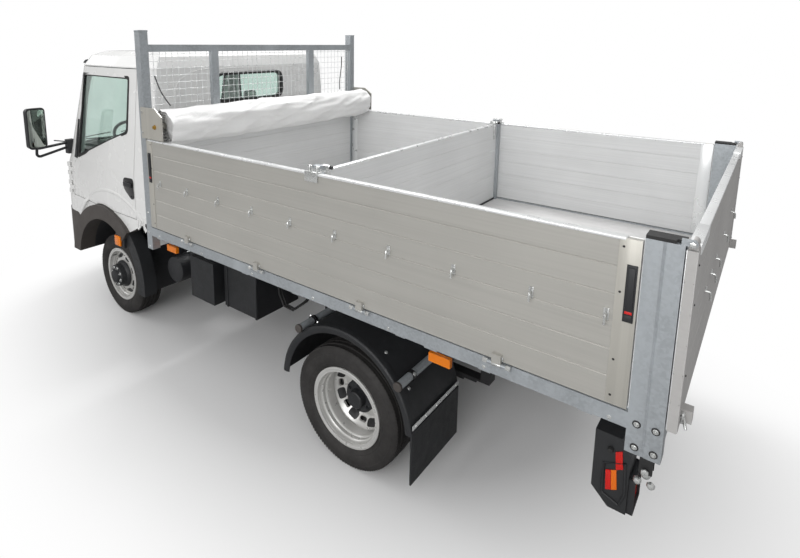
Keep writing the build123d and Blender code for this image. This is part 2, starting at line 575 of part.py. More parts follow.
MARKER_LENGTH = 105
MARKER_HEIGHT = 42
MARKER_DEPTH = 24
MARKER_REAR_SETBACK = 570
MARKER_FRONT_REACH = 1460
MARKER_Z = 866
MARKER_PLACES = (REAR_AXLE_X - MARKER_REAR_SETBACK, REAR_AXLE_X + MARKER_FRONT_REACH)
with BuildPart() as side_markers:
    for marker_x in MARKER_PLACES:
        marker_span = (marker_x - MARKER_LENGTH / 2, marker_x + MARKER_LENGTH / 2)
        block(marker_span, (MUDGUARD_OUTER_Y - MARKER_DEPTH, MUDGUARD_OUTER_Y),
              (MARKER_Z - MARKER_HEIGHT / 2, MARKER_Z + MARKER_HEIGHT / 2))
    both_sides()
save(side_markers, "side_markers")


# Cab shell: horizontal sections from the sill to the roof

# columns, all shares: height of the cab's height, front setback of its rake, back setback of its
# taper, half width, corner depth, corner end of the half width, and how far the front bows there
CAB_HEIGHT = CAB_TOP_Z - CAB_BOTTOM_Z
CAB_HALF_WIDTH = 935
CAB_RAKE = 680
CAB_BACK_TAPER = 110
CAB_CORNER_DEPTH = 435
CAB_CORNER_BOW = 80
CAB_SECTION_SHARES = (
    (0.0, 0.0, 0.0, 0.995, 1.0, 0.58, 1.0),
    (0.275, 0.022, 0.0, 1.0, 1.0, 0.58, 1.0),
    (0.36, 0.132, 0.0, 0.995, 0.966, 0.62, 0.94),
    (0.92, 0.61, 0.0, 0.909, 0.575, 0.74, 0.69),
    (0.975, 0.735, 0.23, 0.872, 0.552, 0.74, 0.69),
    (1.0, 0.92, 1.0, 0.791, 0.506, 0.74, 0.69),
)
CORNER_MID_SHARE = 0.44
CORNER_MID_WIDTH_SHARE = 0.855
CORNER_START_SHARE = 0.96
BACK_WIDTH_SHARE = 0.985


def cab_volume(inset):
    """Builds the cab's outer form, or the same form drawn in by a wall."""
    with BuildPart() as volume:
        for height, rake, taper, half, corner, end_share, bow in CAB_SECTION_SHARES:
            level = CAB_BOTTOM_Z - inset + height * CAB_HEIGHT
            front = CAB_FRONT_X - rake * CAB_RAKE - inset
            back = CAB_BACK_X + taper * CAB_BACK_TAPER + inset
            width = half * CAB_HALF_WIDTH - inset
            depth = corner * CAB_CORNER_DEPTH
            end_back = bow * CAB_CORNER_BOW
            middle = (back + front - depth) / 2
            with BuildSketch(Plane.XY.offset(level)):
                with BuildLine():
                    Polyline((front - depth, width * CORNER_START_SHARE), (middle, width),
                             (back, width * BACK_WIDTH_SHARE), (back, -width * BACK_WIDTH_SHARE),
                             (middle, -width), (front - depth, -width * CORNER_START_SHARE))
                    corner_mid_x = front - depth * CORNER_MID_SHARE
                    corner_mid_y = width * CORNER_MID_WIDTH_SHARE
                    ThreePointArc((front - depth, -width * CORNER_START_SHARE), (corner_mid_x, -corner_mid_y),
                                  (front - end_back, -width * end_share))
                    ThreePointArc((front - end_back, -width * end_share), (front, 0),
                                  (front - end_back, width * end_share))
                    ThreePointArc((front - end_back, width * end_share), (corner_mid_x, corner_mid_y),
                                  (front - depth, width * CORNER_START_SHARE))
                make_face()
        loft(ruled=True)
    return volume.part


GLASS_INSET = 14
GLASS_THICKNESS = 5
cab_outer = cab_volume(0)
cab_inner = cab_volume(CAB_WALL)
glass_outer = cab_volume(GLASS_INSET)
glass_inner = cab_volume(GLASS_INSET + GLASS_THICKNESS)
BELOW = CAB_BOTTOM_Z - CAB_HEIGHT
ABOVE = CAB_TOP_Z + OVERRUN
WIDE = BED_WIDTH

# Door outline, in X and Z
DOOR_REAR_REACH = 2020
DOOR_REAR_X = REAR_AXLE_X + DOOR_REAR_REACH
DOOR_TOP_Z = ROOF_SPLIT_Z - MOVING_GAP
DOOR_TOP_FRONT_REACH = 2955
DOOR_TOP_FRONT_X = REAR_AXLE_X + DOOR_TOP_FRONT_REACH
DOOR_BELT_FRONT_REACH = 3095
DOOR_BELT_FRONT_X = REAR_AXLE_X + DOOR_BELT_FRONT_REACH
DOOR_BELT_Z = 1220
DOOR_FOOT_FRONT_REACH = 3090
DOOR_FOOT_FRONT_X = REAR_AXLE_X + DOOR_FOOT_FRONT_REACH
DOOR_BOTTOM_Z = 930
DOOR_HINGE_REACH = 3110
DOOR_HINGE_X = REAR_AXLE_X + DOOR_HINGE_REACH
DOOR_HINGE_Y = 905
DOOR_HINGE_R = 7.5
DOOR_HINGE_PIN_R = 3
DOOR_HINGE_HEIGHT = 36
DOOR_HINGE_LEVELS = (1000, 1160)
DOOR_HINGE_LEAF = 30
DOOR_HINGE_ROOT = 20
DOOR_HINGE_PLAY = 1
WINDOW_REAR_REACH = 2130
WINDOW_REAR_X = REAR_AXLE_X + WINDOW_REAR_REACH
WINDOW_TOP_Z = 1975
WINDOW_REAR_BOTTOM_Z = 1575
WINDOW_FRONT_BOTTOM_REACH = 2940
WINDOW_FRONT_BOTTOM_X = REAR_AXLE_X + WINDOW_FRONT_BOTTOM_REACH
WINDOW_FRONT_BOTTOM_Z = 1290
WINDOW_FRONT_TOP_REACH = 2905
WINDOW_FRONT_TOP_X = REAR_AXLE_X + WINDOW_FRONT_TOP_REACH


def door_prism(gap, side):
    """Cuts a block to the door's outline, smaller by a gap all round, on one side of the truck."""
    with BuildPart() as prism:
        with BuildSketch(Plane.XZ):
            with BuildLine():
                Polyline((DOOR_REAR_X + gap, DOOR_BOTTOM_Z + gap), (DOOR_REAR_X + gap, DOOR_TOP_Z),
                         (DOOR_TOP_FRONT_X - gap, DOOR_TOP_Z), (DOOR_BELT_FRONT_X - gap, DOOR_BELT_Z),
                         (DOOR_FOOT_FRONT_X - gap, DOOR_BOTTOM_Z + gap), close=True)
            make_face()
            with Locations((FRONT_AXLE_X, ARCH_CENTRE_Z)):
                Circle(FLARE_OUTER_R + MOVING_GAP, mode=Mode.SUBTRACT)
        extrude(amount=-side * WIDE)
    return prism.part


def window_prism(side):
    """Cuts a block to the door window's outline."""
    with BuildPart() as prism:
        with BuildSketch(Plane.XZ):
            with BuildLine():
                Polyline((WINDOW_REAR_X, WINDOW_REAR_BOTTOM_Z), (WINDOW_REAR_X, WINDOW_TOP_Z),
                         (WINDOW_FRONT_TOP_X, WINDOW_TOP_Z), (WINDOW_FRONT_BOTTOM_X, WINDOW_FRONT_BOTTOM_Z),
                         close=True)
            make_face()
        extrude(amount=-side * WIDE)
    return prism.part


def door_hinge_leaf(side, level, root_x):
    """Adds one hinge knuckle on a leaf whose root sinks into a panel's skin."""
    height = (level - DOOR_HINGE_HEIGHT / 2, level + DOOR_HINGE_HEIGHT / 2)
    rod_z(DOOR_HINGE_X, side * DOOR_HINGE_Y, height, DOOR_HINGE_R)
    outer = DOOR_HINGE_Y + DOOR_HINGE_R
    leaf_x = sorted((root_x, DOOR_HINGE_X))
    leaf_y = sorted((side * (DOOR_HINGE_Y - DOOR_HINGE_R / 2), side * outer))
    block(leaf_x, leaf_y, height)
    towards_pin = 1 if root_x < DOOR_HINGE_X else -1
    root = sorted((root_x, root_x + towards_pin * DOOR_HINGE_ROOT))
    root_y = sorted((side * (DOOR_HINGE_Y - DOOR_HINGE_LEAF), side * outer))
    block(root, root_y, height)


# Roof
with BuildPart() as cab_roof:
    add(cab_outer)
    add(cab_inner, mode=Mode.SUBTRACT)
    block((REAR_X, FRONT_X), (-WIDE, WIDE), (BELOW, ROOF_SPLIT_Z), Mode.SUBTRACT)
save(cab_roof, "cab_roof")

# Back wall with its window
REAR_WINDOW_HALF = 340
REAR_WINDOW_LOW_Z = 1790
REAR_WINDOW_HIGH_Z = 1985
REAR_WINDOW_CORNER = 40
with BuildPart() as rear_window_prism:
    with BuildSketch(Plane.YZ.offset(CAB_BACK_X - OVERRUN)):
        with Locations((0, (REAR_WINDOW_LOW_Z + REAR_WINDOW_HIGH_Z) / 2)):
            RectangleRounded(2 * REAR_WINDOW_HALF, REAR_WINDOW_HIGH_Z - REAR_WINDOW_LOW_Z, REAR_WINDOW_CORNER)
    extrude(amount=CAB_WALL + 2 * OVERRUN)

with BuildPart() as cab_back:
    add(cab_outer)
    add(cab_inner, mode=Mode.SUBTRACT)
    block((CAB_BACK_X + CAB_WALL, FRONT_X), (-WIDE, WIDE), (BELOW, ABOVE), Mode.SUBTRACT)
    block((REAR_X, FRONT_X), (-WIDE, WIDE), (ROOF_SPLIT_Z, ABOVE), Mode.SUBTRACT)
    add(rear_window_prism.part, mode=Mode.SUBTRACT)
save(cab_back, "cab_back_wall")

with BuildPart() as rear_glass:
    add(glass_outer)
    add(glass_inner, mode=Mode.SUBTRACT)
    add(rear_window_prism.part, mode=Mode.INTERSECT)

# Rear pillars and sills beside the doors, with the sill rising behind the arch
SILL_REAR_Z = 985
SILL_FRONT_SETBACK = 368
SILL_FRONT_Z = 809
with BuildPart() as cab_pillars:
    add(cab_outer)
    add(cab_inner, mode=Mode.SUBTRACT)
    block((REAR_X, CAB_BACK_X + CAB_WALL), (-WIDE, WIDE), (BELOW, ABOVE), Mode.SUBTRACT)
    block((REAR_X, FRONT_X), (-WIDE, WIDE), (ROOF_SPLIT_Z, ABOVE), Mode.SUBTRACT)
    block((FRONT_AXLE_X, FRONT_X), (-WIDE, WIDE), (BELOW, ABOVE), Mode.SUBTRACT)
    rod_y(FRONT_AXLE_X, (-WIDE, WIDE), ARCH_CENTRE_Z, FLARE_OUTER_R, Mode.SUBTRACT)
    block((DOOR_REAR_X, FRONT_X), (-WIDE, WIDE), (DOOR_BOTTOM_Z, ABOVE), Mode.SUBTRACT)
    with BuildSketch(Plane.XZ):
        with BuildLine():
            Polyline((CAB_BACK_X, SILL_REAR_Z), (FRONT_AXLE_X - SILL_FRONT_SETBACK, SILL_FRONT_Z),
                     (FRONT_AXLE_X - SILL_FRONT_SETBACK, BELOW), (CAB_BACK_X, BELOW), close=True)
        make_face()
    extrude(amount=WIDE, both=True, mode=Mode.SUBTRACT)
save(cab_pillars, "cab_rear_pillars")

# Front panel with the windscreen's opening, the lamps and the grille
WINDSCREEN_LOW_Z = 1330
WINDSCREEN_HIGH_Z = 1995
WINDSCREEN_LOW_HALF = 790
WINDSCREEN_HIGH_HALF = 725
SCREEN_FROM_REACH = 200
SCREEN_FROM_X = FRONT_AXLE_X + SCREEN_FROM_REACH
LAMP_FRONT_LOW_Z = 850
LAMP_FRONT_HIGH_Z = 1060
LAMP_FRONT_INNER_Y = 520
LAMP_FRONT_OUTER_Y = 800
GRILLE_LOW_Z = 900
GRILLE_HIGH_Z = 1010
GRILLE_HALF = 470

with BuildPart() as screen_prism:
    with BuildSketch(Plane.YZ.offset(SCREEN_FROM_X)):
        with BuildLine():
            Polyline((-WINDSCREEN_LOW_HALF, WINDSCREEN_LOW_Z), (WINDSCREEN_LOW_HALF, WINDSCREEN_LOW_Z),
                     (WINDSCREEN_HIGH_HALF, WINDSCREEN_HIGH_Z), (-WINDSCREEN_HIGH_HALF, WINDSCREEN_HIGH_Z),
                     close=True)
        make_face()
    extrude(amount=FRONT_OVERHANG)

with BuildPart() as lamp_prism:
    block((FRONT_AXLE_X + FLARE_OUTER_R, FRONT_X + OVERRUN), (LAMP_FRONT_INNER_Y, LAMP_FRONT_OUTER_Y),
          (LAMP_FRONT_LOW_Z, LAMP_FRONT_HIGH_Z))
    both_sides()

with BuildPart() as grille_prism:
    block((FRONT_AXLE_X + FLARE_OUTER_R, FRONT_X + OVERRUN), (-GRILLE_HALF, GRILLE_HALF),
          (GRILLE_LOW_Z, GRILLE_HIGH_Z))

with BuildPart() as front_region:
    with BuildSketch(Plane.XZ):
        with BuildLine():
            Polyline((DOOR_TOP_FRONT_X, ROOF_SPLIT_Z), (DOOR_TOP_FRONT_X, DOOR_TOP_Z),
                     (DOOR_BELT_FRONT_X, DOOR_BELT_Z), (DOOR_FOOT_FRONT_X, DOOR_BOTTOM_Z),
                     (FRONT_AXLE_X, DOOR_BOTTOM_Z), (FRONT_AXLE_X, BELOW), (FRONT_X, BELOW),
                     (FRONT_X, ROOF_SPLIT_Z), close=True)
        make_face()
        with Locations((FRONT_AXLE_X, ARCH_CENTRE_Z)):
            Circle(FLARE_OUTER_R, mode=Mode.SUBTRACT)
    extrude(amount=WIDE, both=True)

with BuildPart() as cab_front:
    add(cab_outer)
    add(cab_inner, mode=Mode.SUBTRACT)
    add(front_region.part, mode=Mode.INTERSECT)
    add(screen_prism.part, mode=Mode.SUBTRACT)
    add(lamp_prism.part, mode=Mode.SUBTRACT)
    add(grille_prism.part, mode=Mode.SUBTRACT)
    for side_name, side_sign in SIDES:
        for level in DOOR_HINGE_LEVELS:
            for step in (DOOR_HINGE_HEIGHT + DOOR_HINGE_PLAY, -DOOR_HINGE_HEIGHT - DOOR_HINGE_PLAY):
                door_hinge_leaf(side_sign, level + step, DOOR_HINGE_X + DOOR_HINGE_LEAF)
            reach = DOOR_HINGE_HEIGHT * 3 / 2
            rod_z(DOOR_HINGE_X, side_sign * DOOR_HINGE_Y, (level - reach, level + reach), DOOR_HINGE_PIN_R)
save(cab_front, "cab_front_panel")

with BuildPart() as windscreen:
    add(glass_outer)
    add(glass_inner, mode=Mode.SUBTRACT)
    add(screen_prism.part, mode=Mode.INTERSECT)
    block((REAR_X, SCREEN_FROM_X + OVERRUN), (-WIDE, WIDE), (BELOW, ABOVE), Mode.SUBTRACT)
    add(rear_glass.part)
save(windscreen, "cab_glass")

with BuildPart() as headlamps:
    add(cab_outer)
    add(cab_inner, mode=Mode.SUBTRACT)
    add(lamp_prism.part, mode=Mode.INTERSECT)
save(headlamps, "headlamps")

with BuildPart() as grille:
    add(cab_outer)
    add(cab_inner, mode=Mode.SUBTRACT)
    add(grille_prism.part, mode=Mode.INTERSECT)
save(grille, "grille")

# Doors and their glass
for side_name, side_sign in SIDES:
    with BuildPart() as door:
        add(cab_outer)
        add(cab_inner, mode=Mode.SUBTRACT)
        add(door_prism(MOVING_GAP, side_sign), mode=Mode.INTERSECT)
        add(window_prism(side_sign), mode=Mode.SUBTRACT)
        for level in DOOR_HINGE_LEVELS:
            door_hinge_leaf(side_sign, level, DOOR_FOOT_FRONT_X - MOVING_GAP - DOOR_HINGE_LEAF)
            reach = DOOR_HINGE_HEIGHT * 2
            rod_z(DOOR_HINGE_X, side_sign * DOOR_HINGE_Y, (level - reach, level + reach),
                  DOOR_HINGE_PIN_R + RUNNING_CLEARANCE, Mode.SUBTRACT)
    save(door, f"door_{side_name}")
    with BuildPart() as door_glass:
        add(glass_outer)
        add(glass_inner, mode=Mode.SUBTRACT)
        add(window_prism(side_sign), mode=Mode.INTERSECT)
    save(door_glass, f"door_glass_{side_name}")

# Seats: a base on the floor, a cushion and a leaning back
SEAT_BASE_HEIGHT = 250
CUSHION_HEIGHT = 150
CUSHION_LENGTH = 480
SEAT_REAR_ROOM = 210
SEAT_REAR_X = CAB_BACK_X + CAB_WALL + SEAT_REAR_ROOM
SEAT_BACK_HEIGHT = 620
SEAT_BACK_THICKNESS = 130
SEAT_BACK_LEAN = 12
DRIVER_SEAT = (170, 690)
PASSENGER_SEAT = (-760, 110)
SEAT_CORNER = 30

# Cab floor, its mounts and the seats' bases
CAB_FLOOR_Z = 862
CAB_FLOOR_THICKNESS = 24
CAB_FLOOR_TOP_Z = CAB_FLOOR_Z + CAB_FLOOR_THICKNESS
MOUNT_SIZE = 70
CAB_FLOOR_BACK_X = CAB_BACK_X + CAB_WALL
with BuildPart() as cab_floor:
    add(cab_volume(CAB_WALL + SEAT_GAP))
    block((REAR_X, FRONT_X), (-WIDE, WIDE), (BELOW, CAB_FLOOR_Z), Mode.SUBTRACT)
    block((REAR_X, FRONT_X), (-WIDE, WIDE), (CAB_FLOOR_TOP_Z, ABOVE), Mode.SUBTRACT)
    for mount_x in (CAB_FLOOR_BACK_X + MOUNT_SIZE, RAIL_FRONT_X - MOUNT_SIZE * 2):
        for sign in (1, -1):
            mount_y = sign * RAIL_MID_Y
            block((mount_x - MOUNT_SIZE / 2, mount_x + MOUNT_SIZE / 2),
                  (mount_y - MOUNT_SIZE / 2, mount_y + MOUNT_SIZE / 2), (RAIL_TOP_Z, CAB_FLOOR_Z))
    for low, high in ((FLARE_INNER_Y - MOVING_GAP, WIDE), (-WIDE, MOVING_GAP - FLARE_INNER_Y)):
        rod_y(FRONT_AXLE_X, (low, high), ARCH_CENTRE_Z, FLARE_OUTER_R + MOVING_GAP, Mode.SUBTRACT)
    for low, high in (DRIVER_SEAT, PASSENGER_SEAT):
        block((SEAT_REAR_X, SEAT_REAR_X + CUSHION_LENGTH - SEAT_CORNER * 2),
              (low + SEAT_CORNER * 2, high - SEAT_CORNER * 2),
              (CAB_FLOOR_TOP_Z, CAB_FLOOR_TOP_Z + SEAT_BASE_HEIGHT))
save(cab_floor, "cab_floor")

# Bumper round the cab's front, open at the wheels
BUMPER_LOW_Z = 430
BUMPER_WALL = 60
BUMPER_REAR_REACH = 385
BUMPER_REAR_X = FRONT_AXLE_X + BUMPER_REAR_REACH
BUMPER_HALF = 925
BUMPER_DEPTH = 435
BUMPER_END_SHARE = 0.58
BUMPER_END_SETBACK = 80
BUMPER_HIGH_Z = CAB_BOTTOM_Z - SEAT_GAP


def bumper_outline(inset):
    """Draws the bumper's plan shape, drawn in by its wall."""
    front = FRONT_X - inset
    width = BUMPER_HALF - inset
    start = front - BUMPER_DEPTH
    middle_x = front - BUMPER_DEPTH * CORNER_MID_SHARE
    middle_y = width * CORNER_MID_WIDTH_SHARE
    end = (front - BUMPER_END_SETBACK, width * BUMPER_END_SHARE)
    with BuildSketch(Plane.XY.offset(BUMPER_LOW_Z)) as outline:
        with BuildLine():
            Polyline((start, width * CORNER_START_SHARE), (FRONT_AXLE_X, width), (FRONT_AXLE_X, -width),
                     (start, -width * CORNER_START_SHARE))
            ThreePointArc((start, -width * CORNER_START_SHARE), (middle_x, -middle_y), (end[0], -end[1]))
            ThreePointArc((end[0], -end[1]), (front, 0), end)
            ThreePointArc(end, (middle_x, middle_y), (start, width * CORNER_START_SHARE))
        make_face()
    return outline.sketch


with BuildPart() as bumper:
    extrude(bumper_outline(0), amount=BUMPER_HIGH_Z - BUMPER_LOW_Z)
    extrude(bumper_outline(BUMPER_WALL), amount=BUMPER_HIGH_Z - BUMPER_LOW_Z, mode=Mode.SUBTRACT)
    block((REAR_X, BUMPER_REAR_X), (-WIDE, WIDE), (BELOW, ABOVE), Mode.SUBTRACT)
    rod_y(FRONT_AXLE_X, (-WIDE, WIDE), ARCH_CENTRE_Z, FLARE_OUTER_R, Mode.SUBTRACT)
    for sign in (1, -1):
        rail_y = sign * RAIL_MID_Y
        block((RAIL_FRONT_X, FRONT_X - BUMPER_WALL / 2), (rail_y - RAIL_WIDTH / 2, rail_y + RAIL_WIDTH / 2),
              (RAIL_BOTTOM_Z, RAIL_TOP_Z))
save(bumper, "bumper")

# Arch flares and the liners behind them
FLARE_REAR_Z = 600
FLARE_FRONT_Z = 470
FLARE_END_ANGLE = 48
APRON_R = 535
APRON_OUTER_Y = 930
APRON_LOW_Z = 330


def arch_sector(rear_z, front_z):
    """Cuts an arch ring off below one height behind the axle and another ahead of it."""
    reach = FLARE_OUTER_R + OVERRUN
    for x, z in ((FRONT_AXLE_X - reach, rear_z), (FRONT_AXLE_X + reach, front_z)):
        with Locations(((FRONT_AXLE_X + x) / 2, z - reach)):
            Rectangle(reach, 2 * reach, mode=Mode.SUBTRACT)


def behind_flare(mode):
    """Takes away or keeps the part of an arch ring behind and below the flare's rear end."""
    angle = radians(FLARE_END_ANGLE)
    far = 2 * FLARE_OUTER_R
    high = ARCH_CENTRE_Z + far * sin(angle)
    with BuildLine() as sector:
        Polyline((FRONT_AXLE_X, ARCH_CENTRE_Z), (FRONT_AXLE_X - far * cos(angle), high),
                 (FRONT_AXLE_X - 2 * far, high), (FRONT_AXLE_X - 2 * far, APRON_LOW_Z),
                 (FRONT_AXLE_X, APRON_LOW_Z), close=True)
    make_face(sector.edges(), mode=mode)


with BuildPart() as flares:
    with BuildSketch(Plane.XZ.offset(-FLARE_INNER_Y)):
        with Locations((FRONT_AXLE_X, ARCH_CENTRE_Z)):
            Circle(FLARE_OUTER_R)
            Circle(FLARE_INNER_R, mode=Mode.SUBTRACT)
        arch_sector(FLARE_REAR_Z, FLARE_FRONT_Z)
        behind_flare(Mode.SUBTRACT)
    extrude(amount=FLARE_INNER_Y - FLARE_OUTER_Y)
    both_sides()
save(flares, "arch_flares")

LINER_LOW_Z = 300
with BuildPart() as liners:
    with BuildSketch(Plane.XZ.offset(-LINER_INNER_Y)):
        with Locations((FRONT_AXLE_X, ARCH_CENTRE_Z)):
            Circle(FLARE_INNER_R + LINER_SKIN)
            Circle(FLARE_INNER_R, mode=Mode.SUBTRACT)
        arch_sector(LINER_LOW_Z, FLARE_FRONT_Z)
    extrude(amount=LINER_INNER_Y - FLARE_INNER_Y)
    with BuildSketch(Plane.XZ.offset(-FLARE_INNER_Y)):
        with Locations((FRONT_AXLE_X, ARCH_CENTRE_Z)):
            Circle(APRON_R)
            Circle(FLARE_INNER_R, mode=Mode.SUBTRACT)
        behind_flare(Mode.INTERSECT)
    extrude(amount=FLARE_INNER_Y - APRON_OUTER_Y)
    both_sides()
save(liners, "front_mudguards")

# Dashboard, steering wheel and seats
DASH_REAR_REACH = 470
DASH_REAR_X = FRONT_AXLE_X + DASH_REAR_REACH
DASH_HALF = 835
DASH_LOW_Z = 1000
DASH_HIGH_Z = 1300
STEER_HUB_REACH = 330
STEER_HUB_X = FRONT_AXLE_X + STEER_HUB_REACH
STEER_HUB_Z = 1400
STEER_Y = 420
STEER_R = 195
STEER_GRIP_R = 14
STEER_TILT = 50
COLUMN_R = 28
COLUMN_LENGTH = 190

STEER_DIR = (cos(radians(STEER_TILT)), 0, -sin(radians(STEER_TILT)))
with BuildPart() as dashboard:
    with BuildSketch(Plane.XZ):
        with BuildLine():
            Polyline((DASH_REAR_X, DASH_LOW_Z), (FRONT_X, DASH_LOW_Z - CAB_WALL),
                     (FRONT_X, DASH_HIGH_Z - CAB_WALL), (DASH_REAR_X + CAB_WALL * 2, DASH_HIGH_Z),
                     (DASH_REAR_X, DASH_HIGH_Z - CAB_WALL), close=True)
        make_face()
    extrude(amount=WIDE, both=True)
    add(cab_volume(CAB_WALL + SEAT_GAP), mode=Mode.INTERSECT)
    block((REAR_X, FRONT_X), (DASH_HALF, WIDE), (BELOW, ABOVE), Mode.SUBTRACT)
    block((REAR_X, FRONT_X), (-WIDE, -DASH_HALF), (BELOW, ABOVE), Mode.SUBTRACT)
    with BuildSketch(Plane(origin=(STEER_HUB_X, STEER_Y, STEER_HUB_Z), z_dir=STEER_DIR).offset(COLUMN_R)):
        Circle(COLUMN_R)
    extrude(amount=COLUMN_LENGTH)
save(dashboard, "dashboard")

STEER_HUB = (STEER_HUB_X, STEER_Y, STEER_HUB_Z)
with BuildPart() as steering_wheel:
    with BuildSketch(Plane(origin=STEER_HUB, x_dir=(0, 1, 0), z_dir=STEER_DIR).offset(-STEER_GRIP_R)):
        Circle(COLUMN_R * 2)
        Rectangle(2 * (STEER_R - STEER_GRIP_R / 2), COLUMN_R)
        with Locations((0, -(STEER_R - STEER_GRIP_R / 2) / 2)):
            Rectangle(COLUMN_R, STEER_R - STEER_GRIP_R / 2)
    extrude(amount=STEER_GRIP_R)
    with BuildSketch(Plane(origin=STEER_HUB, x_dir=STEER_DIR, z_dir=(0, 1, 0))):
        with Locations((0, STEER_R)):
            Circle(STEER_GRIP_R)
    revolve(axis=Axis(STEER_HUB, STEER_DIR))
    with BuildSketch(Plane(origin=STEER_HUB, z_dir=STEER_DIR).offset(-STEER_GRIP_R)):
        Circle(COLUMN_R / 2)
    extrude(amount=COLUMN_R + STEER_GRIP_R - SEAT_GAP)
save(steering_wheel, "steering_wheel")

cushion_low = CAB_FLOOR_TOP_Z + SEAT_BASE_HEIGHT + SEAT_GAP
cushion_high = cushion_low + CUSHION_HEIGHT
back_top = cushion_low + SEAT_BACK_HEIGHT
with BuildPart() as seats:
    for low, high in (DRIVER_SEAT, PASSENGER_SEAT):
        block((SEAT_REAR_X, SEAT_REAR_X + CUSHION_LENGTH), (low, high), (cushion_low, cushion_high))
    fillet(seats.edges().filter_by(Axis.Z), SEAT_CORNER)
    lean = SEAT_BACK_HEIGHT * sin(radians(SEAT_BACK_LEAN))
    for low, high in (DRIVER_SEAT, PASSENGER_SEAT):
        back_x = SEAT_REAR_X - SEAT_GAP
        with BuildSketch(Plane.XZ.offset(-high)):
            with BuildLine():
                Polyline((back_x, cushion_low), (back_x, cushion_high),
                         (back_x - lean + SEAT_CORNER, back_top),
                         (back_x - lean - SEAT_BACK_THICKNESS + SEAT_CORNER * 3, back_top),
                         (back_x - SEAT_BACK_THICKNESS, cushion_low), close=True)
            make_face()
        extrude(amount=high - low)
save(seats, "seats")

# Mirrors on tubes from the front pillars
MIRROR_REACH = 600
MIRROR_X = FRONT_AXLE_X + MIRROR_REACH
MIRROR_LOW_Z = 1370
MIRROR_HIGH_Z = 1700
MIRROR_INNER_Y = 1070
MIRROR_WIDTH = 146
MIRROR_DEPTH = 46
MIRROR_CORNER = 30
ARM_R = 11
ARM_FOOT_REACH = 655
ARM_FOOT_X = FRONT_AXLE_X + ARM_FOOT_REACH
ARM_FOOT_Y = 868
ARM_LOW_Z = 1345
ARM_BEND = 60
ARM_SPACING = 36

mirror_mid_y = MIRROR_INNER_Y + MIRROR_WIDTH / 2
arm_x = MIRROR_X + MIRROR_DEPTH / 2
with BuildPart() as mirrors:
    with BuildSketch(Plane.YZ.offset(MIRROR_X)):
        with Locations((mirror_mid_y, (MIRROR_LOW_Z + MIRROR_HIGH_Z) / 2)):
            RectangleRounded(MIRROR_WIDTH, MIRROR_HIGH_Z - MIRROR_LOW_Z, MIRROR_CORNER)
    extrude(amount=MIRROR_DEPTH)
    for foot_z, low_z in ((ARM_LOW_Z, ARM_LOW_Z - ARM_BEND),
                          (ARM_LOW_Z + ARM_SPACING, ARM_LOW_Z + ARM_SPACING / 3)):
        with BuildPart(mode=Mode.PRIVATE) as arm:
            with BuildLine() as arm_path:
                FilletPolyline((ARM_FOOT_X, ARM_FOOT_Y, foot_z), (ARM_FOOT_X, mirror_mid_y, low_z),
                               (arm_x, mirror_mid_y, MIRROR_LOW_Z + ARM_BEND), radius=ARM_BEND / 2)
            with BuildSketch(Plane(origin=arm_path.line @ 0, z_dir=arm_path.line % 0)):
                Circle(ARM_R)
            sweep()
        add(arm.part)
    block((ARM_FOOT_X - MIRROR_CORNER, ARM_FOOT_X + MIRROR_CORNER),
          (ARM_FOOT_Y - MIRROR_CORNER, ARM_FOOT_Y + MIRROR_CORNER),
          (ARM_LOW_Z - ARM_BEND, ARM_LOW_Z + ARM_BEND))
    add(cab_outer, mode=Mode.SUBTRACT)
    both_sides()
save(mirrors, "mirrors")


# Load body: floor, frame under it and side rails

RAIL_INNER_FACE_Y = BED_SIDE_Y - SIDE_RAIL_WIDTH
BED_REAR_X = POST_REAR_X
MEMBER_WIDTH = 50
MEMBER_HEIGHT = 62
MEMBER_BOTTOM_Z = FLOOR_BOTTOM_Z - MEMBER_HEIGHT
BEARER_BOTTOM_Z = SUBFRAME_TOP_Z + MOVING_GAP
MEMBER_PLACES = (-1180, -800, -400, 0, 250, 650, 1000, 1380)
LUG_INNER_Y = PIVOT_EAR_INNER_Y - MOVING_GAP
BALL_SEAT_Y = 46
BALL_SEAT_BAR = 16
BALL_SEAT_HALF = 50
BALL_SEAT_RISE = 20
HINGE_STANDOFF = 9
HINGE_Y = BED_SIDE_Y + HINGE_STANDOFF
HINGE_Z = 1013
HINGE_R = 8
HINGE_PIN_R = 3.5
HINGE_LENGTH = 110
HINGE_PLACES = (-864, -199, 509, 1142)
MARKER_BRACKET = 60
MARKER_PLATE = 6

GUIDE_SIZE = 30
SILL_HALF = GUIDE_SIZE + MOVING_GAP
with BuildPart() as bed_floor:
    for floor_x in ((BED_REAR_X, PARTITION_X - SILL_HALF - SEAT_GAP),
                    (PARTITION_X - SILL_HALF, PARTITION_X + SILL_HALF),
                    (PARTITION_X + SILL_HALF + SEAT_GAP, HEAD_POST_REAR_X)):
        block(floor_x, (-RAIL_INNER_FACE_Y, RAIL_INNER_FACE_Y), (FLOOR_BOTTOM_Z, FLOOR_TOP_Z))
    for sign in (1, -1):
        low, high = sorted((sign * (BED_SIDE_Y - POST_THICKNESS), sign * WIDE))
        block((REAR_X, POST_FRONT_X), (low, high), (BELOW, ABOVE), Mode.SUBTRACT)
save(bed_floor, "bed_floor")

